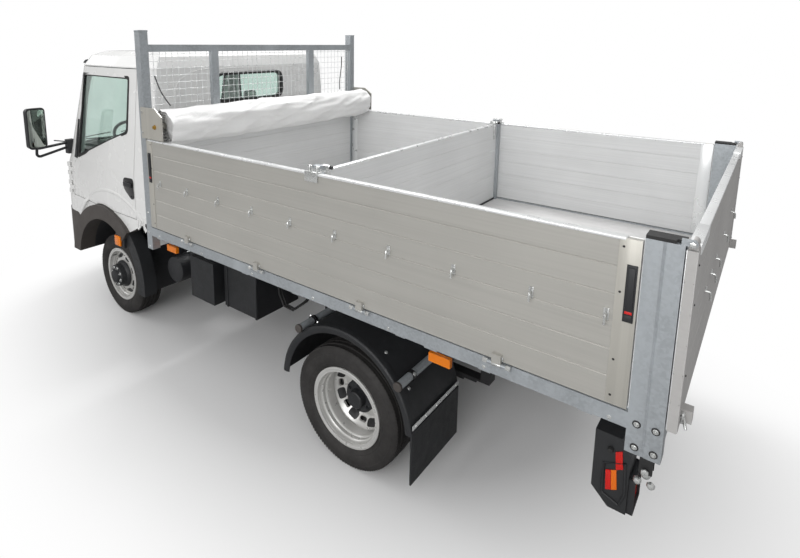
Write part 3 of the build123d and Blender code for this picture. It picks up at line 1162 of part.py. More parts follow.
with BuildPart() as bed_frame:
    block((POST_FRONT_X, HEAD_POST_REAR_X), (RAIL_INNER_FACE_Y, BED_SIDE_Y),
          (SIDE_RAIL_BOTTOM_Z, SIDE_RAIL_TOP_Z))
    block((TIP_X, HEAD_POST_REAR_X), (RAIL_INNER_Y, RAIL_OUTER_Y), (BEARER_BOTTOM_Z, MEMBER_BOTTOM_Z))
    block((TIP_X - PIVOT_EAR_R, TIP_X + PIVOT_EAR_R), (RAIL_OUTER_Y, LUG_INNER_Y), (TIP_Z, MEMBER_BOTTOM_Z))
    rod_y(TIP_X, (RAIL_OUTER_Y, LUG_INNER_Y), TIP_Z, PIVOT_EAR_R - MOVING_GAP)
    rod_y(TIP_X, (RAIL_OUTER_Y, PIVOT_EAR_OUTER_Y), TIP_Z, TIP_PIN_R)
    for place in HINGE_PLACES:
        hinge_x = REAR_AXLE_X + place
        for sign in (1, -1):
            knuckle_x = hinge_x + sign * HINGE_LENGTH / 3
            rod_x((knuckle_x - HINGE_LENGTH / 6, knuckle_x + HINGE_LENGTH / 6), HINGE_Y, HINGE_Z, HINGE_R)
        rod_x((hinge_x - HINGE_LENGTH / 2, hinge_x + HINGE_LENGTH / 2), HINGE_Y, HINGE_Z, HINGE_PIN_R)
    bracket_y = MUDGUARD_OUTER_Y - MARKER_DEPTH - SEAT_GAP
    for marker_x in MARKER_PLACES:
        bracket_x = (marker_x - MARKER_BRACKET / 2, marker_x + MARKER_BRACKET / 2)
        block(bracket_x, (bracket_y - MARKER_PLATE, bracket_y),
              (MARKER_Z - MARKER_HEIGHT / 2, SIDE_RAIL_BOTTOM_Z))
        block(bracket_x, (bracket_y, BED_SIDE_Y), (SIDE_RAIL_BOTTOM_Z - MARKER_PLATE, SIDE_RAIL_BOTTOM_Z))
    both_sides()
    for place in MEMBER_PLACES:
        member_x = REAR_AXLE_X + place
        block((member_x - MEMBER_WIDTH / 2, member_x + MEMBER_WIDTH / 2),
              (-RAIL_INNER_FACE_Y, RAIL_INNER_FACE_Y), (MEMBER_BOTTOM_Z, FLOOR_BOTTOM_Z))
    block((POST_REAR_X, POST_REAR_X + MEMBER_WIDTH),
          (POST_THICKNESS - BED_SIDE_Y, BED_SIDE_Y - POST_THICKNESS), (MEMBER_BOTTOM_Z, FLOOR_BOTTOM_Z))
    for sign in (1, -1):
        low, high = sorted((sign * BALL_SEAT_Y, sign * (BALL_SEAT_Y + BALL_SEAT_BAR)))
        block((REAR_AXLE_X + MEMBER_PLACES[4], REAR_AXLE_X + MEMBER_PLACES[5]), (low, high),
              (RAM_BALL_Z + BALL_SEAT_RISE, FLOOR_BOTTOM_Z))
    block((RAM_X - BALL_SEAT_HALF, RAM_X + BALL_SEAT_HALF), (-BALL_SEAT_Y, BALL_SEAT_Y),
          (RAM_BALL_Z + BALL_SEAT_RISE, FLOOR_BOTTOM_Z))
    with Locations((RAM_X, 0, RAM_BALL_Z)):
        Sphere(RAM_BALL_R + SEAT_GAP, mode=Mode.SUBTRACT)
save(bed_frame, "bed_frame")

# Rear corner posts with the tailgate's hinge ears
GATE_HINGE_X = (TAILGATE_INNER_X + TAILGATE_OUTER_X) / 2
GATE_HINGE_RISE = 8
GATE_HINGE_Z = POST_TOP_Z + GATE_HINGE_RISE
GATE_EAR_R = 12
GATE_PIN_R = 6
GATE_EAR_WIDTH = 12
CREASE_WIDTH = 10
CREASE_DEPTH = 2.5
post_mid_x = (POST_REAR_X + POST_FRONT_X) / 2
with BuildPart() as rear_posts:
    with BuildSketch(Plane.XY.offset(POST_BOTTOM_Z)):
        with BuildLine():
            Polyline((POST_REAR_X, BED_SIDE_Y - POST_THICKNESS), (POST_FRONT_X, BED_SIDE_Y - POST_THICKNESS),
                     (POST_FRONT_X, BED_SIDE_Y), (post_mid_x + CREASE_WIDTH / 2, BED_SIDE_Y),
                     (post_mid_x, BED_SIDE_Y - CREASE_DEPTH), (post_mid_x - CREASE_WIDTH / 2, BED_SIDE_Y),
                     (POST_REAR_X, BED_SIDE_Y), close=True)
        make_face()
    extrude(amount=POST_TOP_Z - POST_BOTTOM_Z)
    block((GATE_HINGE_X, POST_REAR_X + GATE_EAR_WIDTH), (BED_SIDE_Y - GATE_EAR_WIDTH, BED_SIDE_Y),
          (POST_TOP_Z, GATE_HINGE_Z + GATE_EAR_R))
    rod_y(GATE_HINGE_X, (BED_SIDE_Y - GATE_EAR_WIDTH, BED_SIDE_Y), GATE_HINGE_Z, GATE_EAR_R)
    rod_y(GATE_HINGE_X, (BED_SIDE_Y - OVERRUN, BED_SIDE_Y + OVERRUN), GATE_HINGE_Z,
          GATE_PIN_R + RUNNING_CLEARANCE, Mode.SUBTRACT)
    both_sides()
save(rear_posts, "rear_posts")

# Rubber caps on the rear posts, and the brackets with their balls under them
POST_CAP_HEIGHT = 11
FOOT_BRACKET_WIDTH = 40
FOOT_BRACKET_HEIGHT = 62
FOOT_PLATE = 7
FOOT_BALL_R = 15
FOOT_STEM_R = 8
FOOT_PIN_R = 7
FOOT_PIN_REACH = 34
foot_y = BED_SIDE_Y - POST_THICKNESS / 2
foot_low = POST_BOTTOM_Z - FOOT_BRACKET_HEIGHT
with BuildPart() as post_fittings:
    block((POST_REAR_X, POST_FRONT_X),
          (BED_SIDE_Y - POST_THICKNESS, BED_SIDE_Y - GATE_EAR_WIDTH - MOVING_GAP),
          (POST_TOP_Z + SEAT_GAP, POST_TOP_Z + POST_CAP_HEIGHT))
    block((POST_REAR_X + GATE_EAR_WIDTH * 2, POST_FRONT_X),
          (BED_SIDE_Y - GATE_EAR_WIDTH - MOVING_GAP, BED_SIDE_Y),
          (POST_TOP_Z + SEAT_GAP, POST_TOP_Z + POST_CAP_HEIGHT))
    foot_x = POST_REAR_X + FOOT_BRACKET_WIDTH
    foot_half = FOOT_BRACKET_WIDTH / 2
    for plate_y in (foot_y - foot_half, foot_y + foot_half - FOOT_PLATE):
        block((foot_x - foot_half, foot_x + foot_half), (plate_y, plate_y + FOOT_PLATE),
              (foot_low, POST_BOTTOM_Z - SEAT_GAP))
    block((foot_x - foot_half, foot_x + foot_half), (foot_y - foot_half, foot_y + foot_half),
          (POST_BOTTOM_Z - FOOT_PLATE, POST_BOTTOM_Z - SEAT_GAP))
    rod_y(foot_x, (foot_y - FOOT_PIN_REACH, foot_y + FOOT_PIN_REACH), foot_low + FOOT_BALL_R, FOOT_PIN_R)
    rod_z(foot_x, foot_y, (foot_low - FOOT_BALL_R, foot_low + FOOT_BALL_R), FOOT_STEM_R)
    with Locations((foot_x, foot_y, foot_low - FOOT_BALL_R)):
        Sphere(FOOT_BALL_R)
    both_sides()
save(post_fittings, "post_caps_and_feet")

# Headboard: posts, rails, lower board and mesh panel
HEAD_RAIL_LOW_Z = BOARD_TOP_Z
HEAD_POST_BOTTOM_Z = 862
MULLION_WIDTH = 60
MULLION_PLACES = (-490, 510)
MULLION_DEPTH = 30
with BuildPart() as headboard_frame:
    for sign in (1, -1):
        low, high = sorted((sign * (BED_SIDE_Y - HEAD_POST_WIDTH), sign * BED_SIDE_Y))
        block((HEAD_POST_REAR_X, HEAD_POST_FRONT_X), (low, high), (HEAD_POST_BOTTOM_Z, HEAD_POST_TOP_Z))
    inner = BED_SIDE_Y - HEAD_POST_WIDTH
    bars_x = (HEAD_POST_REAR_X, HEAD_POST_REAR_X + MULLION_DEPTH)
    for top in (HEAD_RAIL_TOP_Z, HEAD_RAIL_LOW_Z + HEAD_RAIL_HEIGHT):
        block(bars_x, (-inner, inner), (top - HEAD_RAIL_HEIGHT, top))
    for mullion_y in MULLION_PLACES:
        block(bars_x, (mullion_y - MULLION_WIDTH / 2, mullion_y + MULLION_WIDTH / 2),
              (HEAD_RAIL_LOW_Z, HEAD_RAIL_TOP_Z))
    block((HEAD_POST_REAR_X, HEAD_POST_FRONT_X), (-inner, inner), (MEMBER_BOTTOM_Z, FLOOR_BOTTOM_Z))
save(headboard_frame, "headboard_frame")


# Boards of interlocking planks with a shallow groove at each seam

PLANKS = 6
GROOVE_WIDTH = 6
GROOVE_DEPTH = 2.5


def plank_outline(near, far, low, high):
    """Lists a board's section: its two faces with a groove at every seam between planks."""
    outward = 1 if far > near else -1
    seams = [low + (high - low) * seam / PLANKS for seam in range(1, PLANKS)]
    points = [(near, low), (far, low)]
    for seam in seams:
        points += [(far, seam - GROOVE_WIDTH / 2), (far - outward * GROOVE_DEPTH, seam),
                   (far, seam + GROOVE_WIDTH / 2)]
    points += [(far, high), (near, high)]
    for seam in reversed(seams):
        points += [(near, seam + GROOVE_WIDTH / 2), (near + outward * GROOVE_DEPTH, seam),
                   (near, seam - GROOVE_WIDTH / 2)]
    return points


def cross_board(x, half, z):
    """Adds a board of planks across the body, from side to side."""
    with BuildSketch(Plane.XZ.offset(-half)) as section:
        with BuildLine():
            Polyline(*plank_outline(x[1], x[0], z[0], z[1]), close=True)
        make_face()
    extrude(section.sketch, amount=2 * half)


with BuildPart() as headboard_board:
    cross_board((HEAD_POST_REAR_X, HEAD_POST_REAR_X + BOARD_THICKNESS), inner,
                (FLOOR_BOTTOM_Z, HEAD_RAIL_LOW_Z))
save(headboard_board, "headboard_board")

# Welded mesh on the rails' front faces
WIRE = 5
WIRE_PITCH = 47
mesh_x = HEAD_POST_REAR_X + MULLION_DEPTH + SEAT_GAP
mesh_low = HEAD_RAIL_LOW_Z + HEAD_RAIL_HEIGHT / 2
mesh_high = HEAD_RAIL_TOP_Z - HEAD_RAIL_HEIGHT / 4
mesh_half = inner - SEAT_GAP
upright_count = round(2 * mesh_half / WIRE_PITCH)
level_count = round((mesh_high - mesh_low) / WIRE_PITCH)
upright_step = (2 * mesh_half - WIRE) / upright_count
level_step = (mesh_high - mesh_low - WIRE) / level_count
with BuildPart() as headboard_mesh:
    with BuildSketch(Plane.YZ.offset(mesh_x)):
        with Locations((0, (mesh_low + mesh_high) / 2)):
            Rectangle(2 * mesh_half, mesh_high - mesh_low)
            with GridLocations(upright_step, level_step, upright_count, level_count):
                Rectangle(upright_step - WIRE, level_step - WIRE, mode=Mode.SUBTRACT)
    extrude(amount=WIRE)
save(headboard_mesh, "headboard_mesh")

# Drop sides
for side_name, side_sign in SIDES:
    with BuildPart() as side_board:
        inner_face = side_sign * (BED_SIDE_Y - BOARD_THICKNESS)
        outline = plank_outline(inner_face, side_sign * BED_SIDE_Y, BOARD_BOTTOM_Z, BOARD_TOP_Z)
        with BuildSketch(Plane.YZ.offset(BOARD_REAR_X)):
            with BuildLine():
                Polyline(*outline, close=True)
            make_face()
        extrude(amount=BOARD_LENGTH)
        for place in HINGE_PLACES:
            hinge_x = REAR_AXLE_X + place
            half = HINGE_LENGTH / 6 - RUNNING_CLEARANCE
            rod_x((hinge_x - half, hinge_x + half), side_sign * HINGE_Y, HINGE_Z, HINGE_R)
            ear_low, ear_high = sorted((side_sign * BED_SIDE_Y, side_sign * (HINGE_Y + HINGE_R)))
            block((hinge_x - half, hinge_x + half), (ear_low, ear_high),
                  (HINGE_Z, BOARD_BOTTOM_Z + SIDE_RAIL_HEIGHT / 2))
            rod_x((hinge_x - HINGE_LENGTH, hinge_x + HINGE_LENGTH), side_sign * HINGE_Y, HINGE_Z,
                  HINGE_PIN_R + RUNNING_CLEARANCE, Mode.SUBTRACT)
    save(side_board, f"side_board_{side_name}")

# Tailgate, hung from its top corners
LATCH_WIDTH = 40
LATCH_HEIGHT = 45
LATCH_Y = 1000
TAILGATE_BOTTOM_Z = 1007
TAILGATE_TOP_Z = POST_TOP_Z - GATE_EAR_R
with BuildPart() as tailgate:
    cross_board((TAILGATE_OUTER_X, TAILGATE_INNER_X), BED_SIDE_Y, (TAILGATE_BOTTOM_Z, TAILGATE_TOP_Z))
    for sign in (1, -1):
        hinge_end = sign * (BED_SIDE_Y - GATE_EAR_WIDTH - MOVING_GAP / 2)
        low, high = sorted((hinge_end, hinge_end - sign * LATCH_WIDTH))
        rod_y(GATE_HINGE_X, (low, high), GATE_HINGE_Z, GATE_EAR_R)
        block((TAILGATE_OUTER_X, TAILGATE_INNER_X), (low, high), (TAILGATE_TOP_Z, GATE_HINGE_Z))
        rod_y(GATE_HINGE_X, (hinge_end - sign * LATCH_WIDTH, sign * BED_SIDE_Y), GATE_HINGE_Z, GATE_PIN_R)
        low, high = sorted((sign * LATCH_Y, sign * (LATCH_Y - LATCH_WIDTH)))
        block((REAR_X, TAILGATE_OUTER_X), (low, high),
              (TAILGATE_BOTTOM_Z, TAILGATE_BOTTOM_Z + LATCH_HEIGHT))
save(tailgate, "tailgate")

# Cross partition in its guides
ROD_R = 7
ROD_RISE = 26
ROD_HANDLE = 44
PARTITION_BOTTOM_Z = FLOOR_TOP_Z + SEAT_GAP
partition_half = BED_SIDE_Y - BOARD_THICKNESS - MOVING_GAP - GUIDE_SIZE
with BuildPart() as partition:
    cross_board((PARTITION_X - BOARD_THICKNESS / 2, PARTITION_X + BOARD_THICKNESS / 2), partition_half,
                (PARTITION_BOTTOM_Z, BOARD_TOP_Z))
save(partition, "partition_board")

with BuildPart() as partition_guides:
    for sign in (1, -1):
        low, high = sorted((sign * partition_half, sign * (partition_half + GUIDE_SIZE)))
        block((PARTITION_X - GUIDE_SIZE, PARTITION_X + GUIDE_SIZE), (low, high),
              (PARTITION_BOTTOM_Z, BOARD_TOP_Z))
        rod_z(PARTITION_X, (low + high) / 2, (BOARD_TOP_Z, BOARD_TOP_Z + ROD_RISE), ROD_R)
        block((PARTITION_X - ROD_HANDLE / 2, PARTITION_X + ROD_HANDLE / 2), (low, high),
              (BOARD_TOP_Z + ROD_RISE - ROD_R, BOARD_TOP_Z + ROD_RISE + ROD_R))
save(partition_guides, "partition_guides")

# Rolled load cover on its end plates
ROLL_SETBACK = 128
ROLL_X = HEAD_POST_REAR_X - ROLL_SETBACK
ROLL_Z = 1705
ROLL_R = 125
ROLL_HALF = 985
PLATE_THICKNESS = 8
PLATE_BOTTOM_Z = 1622
PLATE_TOP_Z = 1822
PLATE_REACH = 75
PLATE_CUT = 50
PLATE_LAP = 30
ROLL_BAR_R = 20
with BuildPart() as cover_roll:
    rod_y(ROLL_X, (-ROLL_HALF, ROLL_HALF), ROLL_Z, ROLL_R)
save(cover_roll, "cover_roll")

with BuildPart() as roll_plates:
    with BuildSketch(Plane.XZ.offset(-BED_SIDE_Y - SEAT_GAP - PLATE_THICKNESS)):
        with BuildLine():
            Polyline((HEAD_POST_REAR_X + PLATE_LAP, PLATE_BOTTOM_Z), (HEAD_POST_REAR_X + PLATE_LAP, PLATE_TOP_Z),
                     (ROLL_X, PLATE_TOP_Z), (ROLL_X - PLATE_REACH, PLATE_TOP_Z - PLATE_CUT),
                     (ROLL_X - PLATE_REACH, PLATE_BOTTOM_Z), close=True)
        make_face()
    extrude(amount=PLATE_THICKNESS)
    rod_y(ROLL_X, (ROLL_HALF + SEAT_GAP, BED_SIDE_Y + SEAT_GAP), ROLL_Z, ROLL_BAR_R)
    both_sides()
save(roll_plates, "roll_end_plates")

# Elastic straps from the headboard's mesh down to the roll
STRAP_R = 4
STRAP_ROUTES = (
    ((544.3, 975, 2014), (523, 973, 1968), (500, 966, 1916), (470, 954, 1868), (436, 940, 1826)),
    ((544.1, -928, 2108), (528, -909, 2042), (505, -868, 1966), (474, -815, 1896), (436, -772, 1826)),
)
with BuildPart() as straps:
    for route in STRAP_ROUTES:
        points = [Vector(x, y, z) for x, y, z in route]
        runs = [b - a for a, b in zip(points, points[1:])]
        radii = []
        for one, two in zip(runs, runs[1:]):
            half_turn = radians(one.get_angle(two)) / 2
            radii.append(0.45 * min(one.length, two.length) / tan(half_turn))
        print("strap radii", [round(radius) for radius in radii])
        with BuildPart(mode=Mode.PRIVATE) as strap:
            with BuildLine() as strap_path:
                FilletPolyline(*points, radius=radii)
            with BuildSketch(Plane(origin=strap_path.line @ 0, z_dir=strap_path.line % 0)):
                Circle(STRAP_R)
            sweep()
        strap_length = sum(edge.length for edge in strap_path.edges())
        print("strap volume", round(strap.part.volume), round(pi * STRAP_R ** 2 * strap_length))
        add(strap.part)
save(straps, "cover_straps")


# Telescopic lifting cylinder under the bed

RAM_OUTER_R = 82
RAM_STEP_R = 10
RAM_WALL = 9.5
RAM_BOTTOM_DROP = 200
RAM_BOTTOM_Z = RAM_PIVOT_Z - RAM_BOTTOM_DROP
RAM_BARREL_TOP_RISE = 150
RAM_BARREL_TOP_Z = RAM_PIVOT_Z + RAM_BARREL_TOP_RISE
RAM_BASE = 14
BALL_NECK_R = 19
with BuildPart() as ram_barrel:
    rod_z(RAM_X, 0, (RAM_BOTTOM_Z, RAM_BARREL_TOP_Z), RAM_OUTER_R)
    rod_z(RAM_X, 0, (RAM_BOTTOM_Z + RAM_BASE, RAM_BARREL_TOP_Z + OVERRUN), RAM_OUTER_R - RAM_WALL,
          Mode.SUBTRACT)
    for sign in (1, -1):
        low, high = sorted((sign * (RAM_OUTER_R - RAM_WALL / 2), sign * (CRADLE_Y + CRADLE_THICKNESS)))
        rod_y(RAM_X, (low, high), RAM_PIVOT_Z, TRUNNION_R)
save(ram_barrel, "ram_barrel")

for stage in range(1, RAM_STAGES + 1):
    outer_r = RAM_OUTER_R - stage * RAM_STEP_R
    low = RAM_BOTTOM_Z + RAM_BASE + stage * SEAT_GAP
    high = RAM_BARREL_TOP_Z + stage * MOVING_GAP / 2
    with BuildPart() as ram_stage:
        rod_z(RAM_X, 0, (low, high), outer_r)
        if stage < RAM_STAGES:
            rod_z(RAM_X, 0, (low, high + OVERRUN), outer_r - RAM_WALL, Mode.SUBTRACT)
        else:
            rod_z(RAM_X, 0, (high, RAM_BALL_Z), BALL_NECK_R)
            with Locations((RAM_X, 0, RAM_BALL_Z)):
                Sphere(RAM_BALL_R)
    save(ram_stage, f"ram_stage_{stage}")
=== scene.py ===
"""Dresses the light tipper truck: finishes on its parts, and the small pieces that the parts leave out."""
import math

import bmesh
import bpy
from bpy.props import FloatProperty, FloatVectorProperty, IntProperty, PointerProperty
from bpy.types import Operator, Panel, PropertyGroup
from mathutils import Matrix, Vector, noise
from mathutils.bvhtree import BVHTree


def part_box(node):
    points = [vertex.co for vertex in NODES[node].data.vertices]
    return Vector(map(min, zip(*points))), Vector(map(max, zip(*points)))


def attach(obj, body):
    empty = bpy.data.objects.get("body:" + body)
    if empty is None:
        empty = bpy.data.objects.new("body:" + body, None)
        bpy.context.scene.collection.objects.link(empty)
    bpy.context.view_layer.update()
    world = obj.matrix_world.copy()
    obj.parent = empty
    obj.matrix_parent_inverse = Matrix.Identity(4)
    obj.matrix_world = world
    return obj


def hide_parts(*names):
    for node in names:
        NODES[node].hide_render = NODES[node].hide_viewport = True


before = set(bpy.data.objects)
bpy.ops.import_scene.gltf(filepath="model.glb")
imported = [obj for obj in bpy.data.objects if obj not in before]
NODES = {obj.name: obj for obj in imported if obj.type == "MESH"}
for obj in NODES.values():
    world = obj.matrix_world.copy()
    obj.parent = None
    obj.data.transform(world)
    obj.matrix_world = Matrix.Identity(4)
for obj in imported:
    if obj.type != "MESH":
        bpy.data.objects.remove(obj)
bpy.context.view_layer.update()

bl_info = {
    "name": "Tipper truck dressing",
    "version": (1, 0, 0),
    "blender": (4, 5, 0),
    "location": "View3D > Sidebar > Truck",
    "description": "Adds finishes and small pieces to a light tipper truck",
    "category": "Object",
}

SIDES = ((1, "left"), (-1, "right"))
REAR_AXLE = Vector((-1.035, 0, 0.335))
FRONT_AXLE = Vector((1.465, 0, 0.335))
X, Y, Z = Vector((1, 0, 0)), Vector((0, 1, 0)), Vector((0, 0, 1))


# Sizes and colours that a user would change

class TruckSizes(PropertyGroup):
    """Sizes of the small pieces."""
    wire: FloatProperty(name="Mesh wire", description="Radius of the headboard's wires",
                        default=0.0016, subtype="DISTANCE", unit="LENGTH")
    wire_pitch: FloatProperty(name="Mesh pitch", description="Distance between wires",
                              default=0.047, subtype="DISTANCE", unit="LENGTH")
    hook_wire: FloatProperty(name="Hook bar", description="Radius of a rope hook's bar",
                             default=0.0045, subtype="DISTANCE", unit="LENGTH")
    cover: FloatProperty(name="Cover cloth", description="Thickness of the load cover",
                         default=0.0025, subtype="DISTANCE", unit="LENGTH")
    tread_depth: FloatProperty(name="Tread depth", description="Depth of the tyres' grooves",
                               default=0.008, subtype="DISTANCE", unit="LENGTH")
    tread_blocks: IntProperty(name="Tread blocks", description="Blocks round one row of a tyre",
                              default=120, min=24, max=180)
    cover_turns: FloatProperty(name="Cover turns", description="Turns of the rolled load cover", default=5.25)


class TruckColours(PropertyGroup):
    """Colours of the finishes, as linear values."""
    cab: FloatVectorProperty(name="Cab", description="Gloss paint of the cab", subtype="COLOR",
                             default=(0.80, 0.80, 0.79))
    board_outside: FloatVectorProperty(name="Boards outside", description="Anodised faces outside",
                                       subtype="COLOR", default=(0.440, 0.430, 0.400))
    board_inside: FloatVectorProperty(name="Boards inside", description="Bare faces inside",
                                      subtype="COLOR", default=(0.70, 0.705, 0.705))
    zinc: FloatVectorProperty(name="Galvanised steel", description="Dipped steel", subtype="COLOR",
                              default=(0.38, 0.405, 0.425))
    cover: FloatVectorProperty(name="Load cover", description="Coated cloth", subtype="COLOR",
                               default=(0.80, 0.80, 0.795))
    rubber: FloatVectorProperty(name="Tyres", description="Tyre rubber", subtype="COLOR",
                                default=(0.024, 0.022, 0.021))
    bumper: FloatVectorProperty(name="Bumper", description="Unpainted grained plastic", subtype="COLOR",
                                default=(0.062, 0.054, 0.049))
    amber: FloatVectorProperty(name="Markers", description="Amber lenses", subtype="COLOR",
                               default=(0.95, 0.24, 0.005))


# Finishes

def shader_node(tree, kind, inputs=(), **settings):
    """Adds a node with its settings, and sets or links its inputs."""
    node = tree.nodes.new(kind)
    for key, value in settings.items():
        setattr(node, key, value)
    for key, value in dict(inputs).items():
        if isinstance(value, bpy.types.NodeSocket):
            tree.links.new(value, node.inputs[key])
        else:
            node.inputs[key].default_value = value
    return node


def blank_material(name):
    """Makes a material with one shader and an output."""
    material = bpy.data.materials.new(name)
    material.use_nodes = True
    tree = material.node_tree
    tree.nodes.clear()
    shader = shader_node(tree, "ShaderNodeBsdfPrincipled")
    output = shader_node(tree, "ShaderNodeOutputMaterial")
    tree.links.new(shader.outputs[0], output.inputs["Surface"])
    return material, tree, shader


def rgba(colour, shade=1.0):
    """Turns three values into four, darker or lighter by a shade."""
    return tuple(min(1.0, c * shade) for c in colour[:3]) + (1.0,)


def noise_field(tree, coordinates, scale, detail=3.0, stretch=(1, 1, 1), roughness=0.5):
    """Adds a noise pattern on stretched coordinates and gives its value."""
    mapping = shader_node(tree, "ShaderNodeMapping", {"Vector": coordinates, "Scale": stretch})
    pattern = shader_node(tree, "ShaderNodeTexNoise",
                          {"Vector": mapping.outputs[0], "Scale": scale, "Detail": detail, "Roughness": roughness})
    return pattern.outputs[0]


def remap(tree, value, low, high, to_low=0.0, to_high=1.0):
    """Maps a value's range to another."""
    return shader_node(tree, "ShaderNodeMapRange",
                       {"Value": value, "From Min": low, "From Max": high, "To Min": to_low,
                        "To Max": to_high}).outputs[0]


def blend_colours(tree, factor, first, second):
    """Mixes two colours by a factor."""
    mix = shader_node(tree, "ShaderNodeMix", data_type="RGBA")
    for socket, value in ((mix.inputs[0], factor), (mix.inputs[6], first), (mix.inputs[7], second)):
        if isinstance(value, bpy.types.NodeSocket):
            tree.links.new(value, socket)
        else:
            socket.default_value = value
    return mix.outputs[2]


def finish(name, colour, patch=2.5, variation=0.06, grain=None, height=0.0, roughness=(0.4, 0.55),
           stretch=(1, 1, 1), cells=False, **constants):
    """Makes a surface with slow colour patches, a fine grain in relief and uneven roughness."""
    material, tree, shader = blank_material(name)
    place = shader_node(tree, "ShaderNodeTexCoord").outputs["Object"]
    slow = noise_field(tree, place, patch, 4.0, stretch)
    factor = remap(tree, slow, 0.35, 0.65)
    base = blend_colours(tree, factor, rgba(colour, 1 - variation), rgba(colour, 1 + variation))
    tree.links.new(base, shader.inputs["Base Color"])
    rough = remap(tree, noise_field(tree, place, patch * 4.3, 5.0, stretch), 0.3, 0.7, *roughness)
    tree.links.new(rough, shader.inputs["Roughness"])
    if grain:
        if cells:
            relief = shader_node(tree, "ShaderNodeTexVoronoi", {"Vector": place, "Scale": grain}).outputs[0]
        else:
            relief = noise_field(tree, place, grain, 2.0, stretch)
        bump = shader_node(tree, "ShaderNodeBump", {"Height": relief, "Distance": height, "Strength": 1.0})
        tree.links.new(bump.outputs[0], shader.inputs["Normal"])
    for key, value in constants.items():
        shader.inputs[key.replace("_", " ")].default_value = value
    return material


def zinc_finish(name, colour, spangle=105.0):
    """Makes dipped steel: crystals of different greys, dull patches and small runs."""
    material, tree, shader = blank_material(name)
    place = shader_node(tree, "ShaderNodeTexCoord").outputs["Object"]
    warp = shader_node(tree, "ShaderNodeTexNoise", {"Vector": place, "Scale": 30.0, "Detail": 2.0})
    moved = shader_node(tree, "ShaderNodeVectorMath",
                        {0: warp.outputs["Color"], 1: (0.012, 0.012, 0.012), 2: place}, operation="MULTIPLY_ADD")
    crystal = shader_node(tree, "ShaderNodeTexVoronoi", {"Vector": moved.outputs[0], "Scale": spangle})
    grey = shader_node(tree, "ShaderNodeSeparateColor", {"Color": crystal.outputs["Color"]}).outputs[0]
    flakes = blend_colours(tree, grey, rgba(colour, 0.90), rgba(colour, 1.10))
    dull = remap(tree, noise_field(tree, place, 5.0, 6.0, (1, 1, 0.25)), 0.45, 0.72)
    base = blend_colours(tree, dull, flakes, rgba(colour, 1.22))
    tree.links.new(base, shader.inputs["Base Color"])
    mixed = shader_node(tree, "ShaderNodeMath", {0: grey, 1: 0.16, 2: 0.30}, operation="MULTIPLY_ADD")
    rough = shader_node(tree, "ShaderNodeMath", {0: dull, 1: 0.22, 2: mixed.outputs[0]}, operation="MULTIPLY_ADD")
    tree.links.new(rough.outputs[0], shader.inputs["Roughness"])
    runs = noise_field(tree, place, 38.0, 3.0, (1, 1, 0.35))
    bump = shader_node(tree, "ShaderNodeBump", {"Height": runs, "Distance": 0.0006, "Strength": 1.0})
    tree.links.new(bump.outputs[0], shader.inputs["Normal"])
    shader.inputs["Metallic"].default_value = 0.5
    return material


def board_finish(name, outside, inside, outward, gloss=0.34, shine=0.5):
    """Makes a drawn aluminium board, anodised on its outward face and bare on the other."""
    material, tree, shader = blank_material(name)
    coordinates = shader_node(tree, "ShaderNodeTexCoord")
    place = coordinates.outputs["Object"]
    facing = shader_node(tree, "ShaderNodeVectorMath",
                         {0: coordinates.outputs["Normal"], 1: outward}, operation="DOT_PRODUCT").outputs["Value"]
    side = remap(tree, facing, -0.4, -0.1)
    along = (0.6, 0.6, 60.0)
    streak = remap(tree, noise_field(tree, place, 2.2, 5.0, along), 0.35, 0.65)
    cloud = remap(tree, noise_field(tree, place, 1.4, 3.0), 0.3, 0.7)
    tone = shader_node(tree, "ShaderNodeMath", {0: streak, 1: 0.55, 2: cloud}, operation="MULTIPLY_ADD").outputs[0]
    tone = remap(tree, tone, 0.2, 1.3)
    outer = blend_colours(tree, tone, rgba(outside, 0.94), rgba(outside, 1.06))
    inner = blend_colours(tree, tone, rgba(inside, 0.93), rgba(inside, 1.07))
    tree.links.new(blend_colours(tree, side, inner, outer), shader.inputs["Base Color"])
    metal = remap(tree, side, 0.0, 1.0, 0.10, 0.35)
    tree.links.new(metal, shader.inputs["Metallic"])
    shader.inputs["Specular IOR Level"].default_value = shine
    rough = remap(tree, streak, 0.0, 1.0, gloss, gloss + 0.12)
    tree.links.new(rough, shader.inputs["Roughness"])
    relief = noise_field(tree, place, 9.0, 2.0, (0.5, 0.5, 80.0))
    bump = shader_node(tree, "ShaderNodeBump", {"Height": relief, "Distance": 0.00012, "Strength": 1.0})
    tree.links.new(bump.outputs[0], shader.inputs["Normal"])
    return material


def glass_finish(name, tint, roughness=0.015, relief=0.0, scale=180.0, transmission=1.0):
    """Makes clear or tinted glass, faintly smeared, with an optional moulded pattern."""
    material, tree, shader = blank_material(name)
    place = shader_node(tree, "ShaderNodeTexCoord").outputs["Object"]
    smear = remap(tree, noise_field(tree, place, 6.0, 4.0), 0.4, 0.8, roughness, roughness + 0.05)
    tree.links.new(smear, shader.inputs["Roughness"])
    cloud = remap(tree, noise_field(tree, place, 3.0, 2.0), 0.3, 0.7)
    base = blend_colours(tree, cloud, rgba(tint, 0.96), rgba(tint, 1.04))
    tree.links.new(base, shader.inputs["Base Color"])
    if relief:
        pattern = shader_node(tree, "ShaderNodeTexVoronoi", {"Vector": place, "Scale": scale})
        bump = shader_node(tree, "ShaderNodeBump", {"Height": pattern.outputs[0], "Distance": relief})
        tree.links.new(bump.outputs[0], shader.inputs["Normal"])
    shader.inputs["Transmission Weight"].default_value = transmission
    shader.inputs["IOR"].default_value = 1.45
    return material


